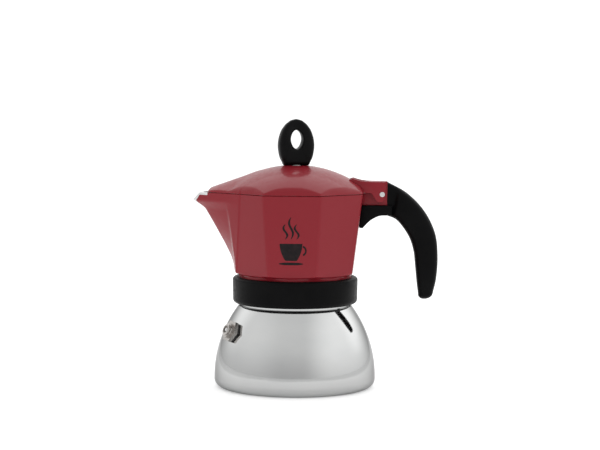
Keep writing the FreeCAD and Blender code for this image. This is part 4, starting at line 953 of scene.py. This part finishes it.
def make_floor():
    """A pale floor that glows round and behind the pot, but not in front of it or far aside."""
    nodes = Nodes("pale_floor")
    nodes.set(Roughness=0.9, Specular_IOR_Level=0.1, Emission_Color=(1, 1, 1, 1))
    nodes.colour(3, (0.86, 0.86, 0.86), (0.87, 0.87, 0.87))
    tree = nodes.tree
    parts = split_vector(tree, "Object")
    aside = calculate(tree, "ABSOLUTE", parts["X"])
    widening = calculate(tree, "MULTIPLY", parts["Y"], 0.25)
    aside = calculate(tree, "SUBTRACT", aside, widening)
    not_in_front = map_range(tree, parts["Y"], -0.19, -0.26, 1.0, 0.0)
    not_aside = map_range(tree, aside, 0.19, 0.27, 1.0, 0.0)
    share = calculate(tree, "MULTIPLY", not_in_front, not_aside)
    glow = calculate(tree, "MULTIPLY_ADD", share, 0.30, 0.02)
    tree.links.new(glow, nodes.shader.inputs["Emission Strength"])
    half = 4000
    floor = new_object("floor", [(-half, -half, 0), (half, -half, 0), (half, half, 0), (-half, half, 0)],
                       [(0, 1, 2, 3)], [nodes.material])


def top_panel():
    """A large soft panel above the pot and behind it, aimed at the jug."""
    place, target = Vector((0, 560, 1250)), Vector((0, 0, 110))
    data = bpy.data.lights.new("top_panel", "AREA")
    data.shape = "RECTANGLE"
    data.size, data.size_y = 1500 * MM, 1000 * MM
    data.energy = 4
    item = bpy.data.objects.new("top_panel", data)
    bpy.context.scene.collection.objects.link(item)
    item.location = place * MM
    item.rotation_euler = (target - place).to_track_quat("-Z", "Y").to_euler()


def studio_world():
    """Even light from all round, brighter upward and to the right, and a white backdrop."""
    world = bpy.data.worlds.new("studio")
    bpy.context.scene.world = world
    world.use_nodes = True
    tree = world.node_tree
    parts = split_vector(tree, "Generated")
    upper_rear = calculate(
        tree, "MULTIPLY",
        map_range(tree, parts["Y"], 0.0, 0.6, 0.0, 0.45),
        map_range(tree, parts["Z"], 0.05, 0.4, 0.0, 1.0))
    backdrop = map_range(tree, parts["Y"], 0.93, 0.975, 0.0, 0.42)
    rear = calculate(tree, "MAXIMUM", upper_rear, backdrop)
    right = map_range(tree, parts["X"], 0.2, 0.95, 0.0, 0.45)
    left = map_range(tree, parts["X"], -0.95, -0.2, 0.16, 0.0)
    height = map_range(tree, parts["Z"], -0.1, 0.8, 0.70, 0.84)
    sides = calculate(tree, "ADD", right, left)
    total = calculate(tree, "ADD", calculate(tree, "ADD", rear, height), sides)
    background = tree.nodes["Background"]
    tree.links.new(total, background.inputs["Strength"])
    background.inputs["Color"].default_value = (1, 1, 1, 1)


def make_camera():
    """A long lens a little to the right of the printed facet and slightly rolled."""
    distance, height, swing, roll = 1085.0, 176.0, math.radians(3.0), math.radians(0.35)
    data = bpy.data.cameras.new("camera")
    data.sensor_width = 36
    data.lens = 112.2
    data.clip_start, data.clip_end = 0.05, 20
    item = bpy.data.objects.new("camera", data)
    bpy.context.scene.collection.objects.link(item)
    item.location = Vector((math.sin(swing) * distance, -math.cos(swing) * distance, height)) * MM
    aim = Vector((2.6, 0, 94.4)) * MM
    item.rotation_mode = "QUATERNION"
    turn = (aim - item.location).to_track_quat("-Z", "Y")
    item.rotation_quaternion = turn @ Quaternion(Vector((0, 0, 1)), roll)
    bpy.context.scene.camera = item


# ---- scene ---------------------------------------------------------------------------------------

scene = bpy.context.scene
scene.view_settings.view_transform = "Standard"
scene.view_settings.look = "None"

dress_cad_nodes()
make_jug()
make_lug()
make_lid()
make_lid_arms()
make_knob()
make_handle()
make_print()
make_floor()
top_panel()
studio_world()
make_camera()
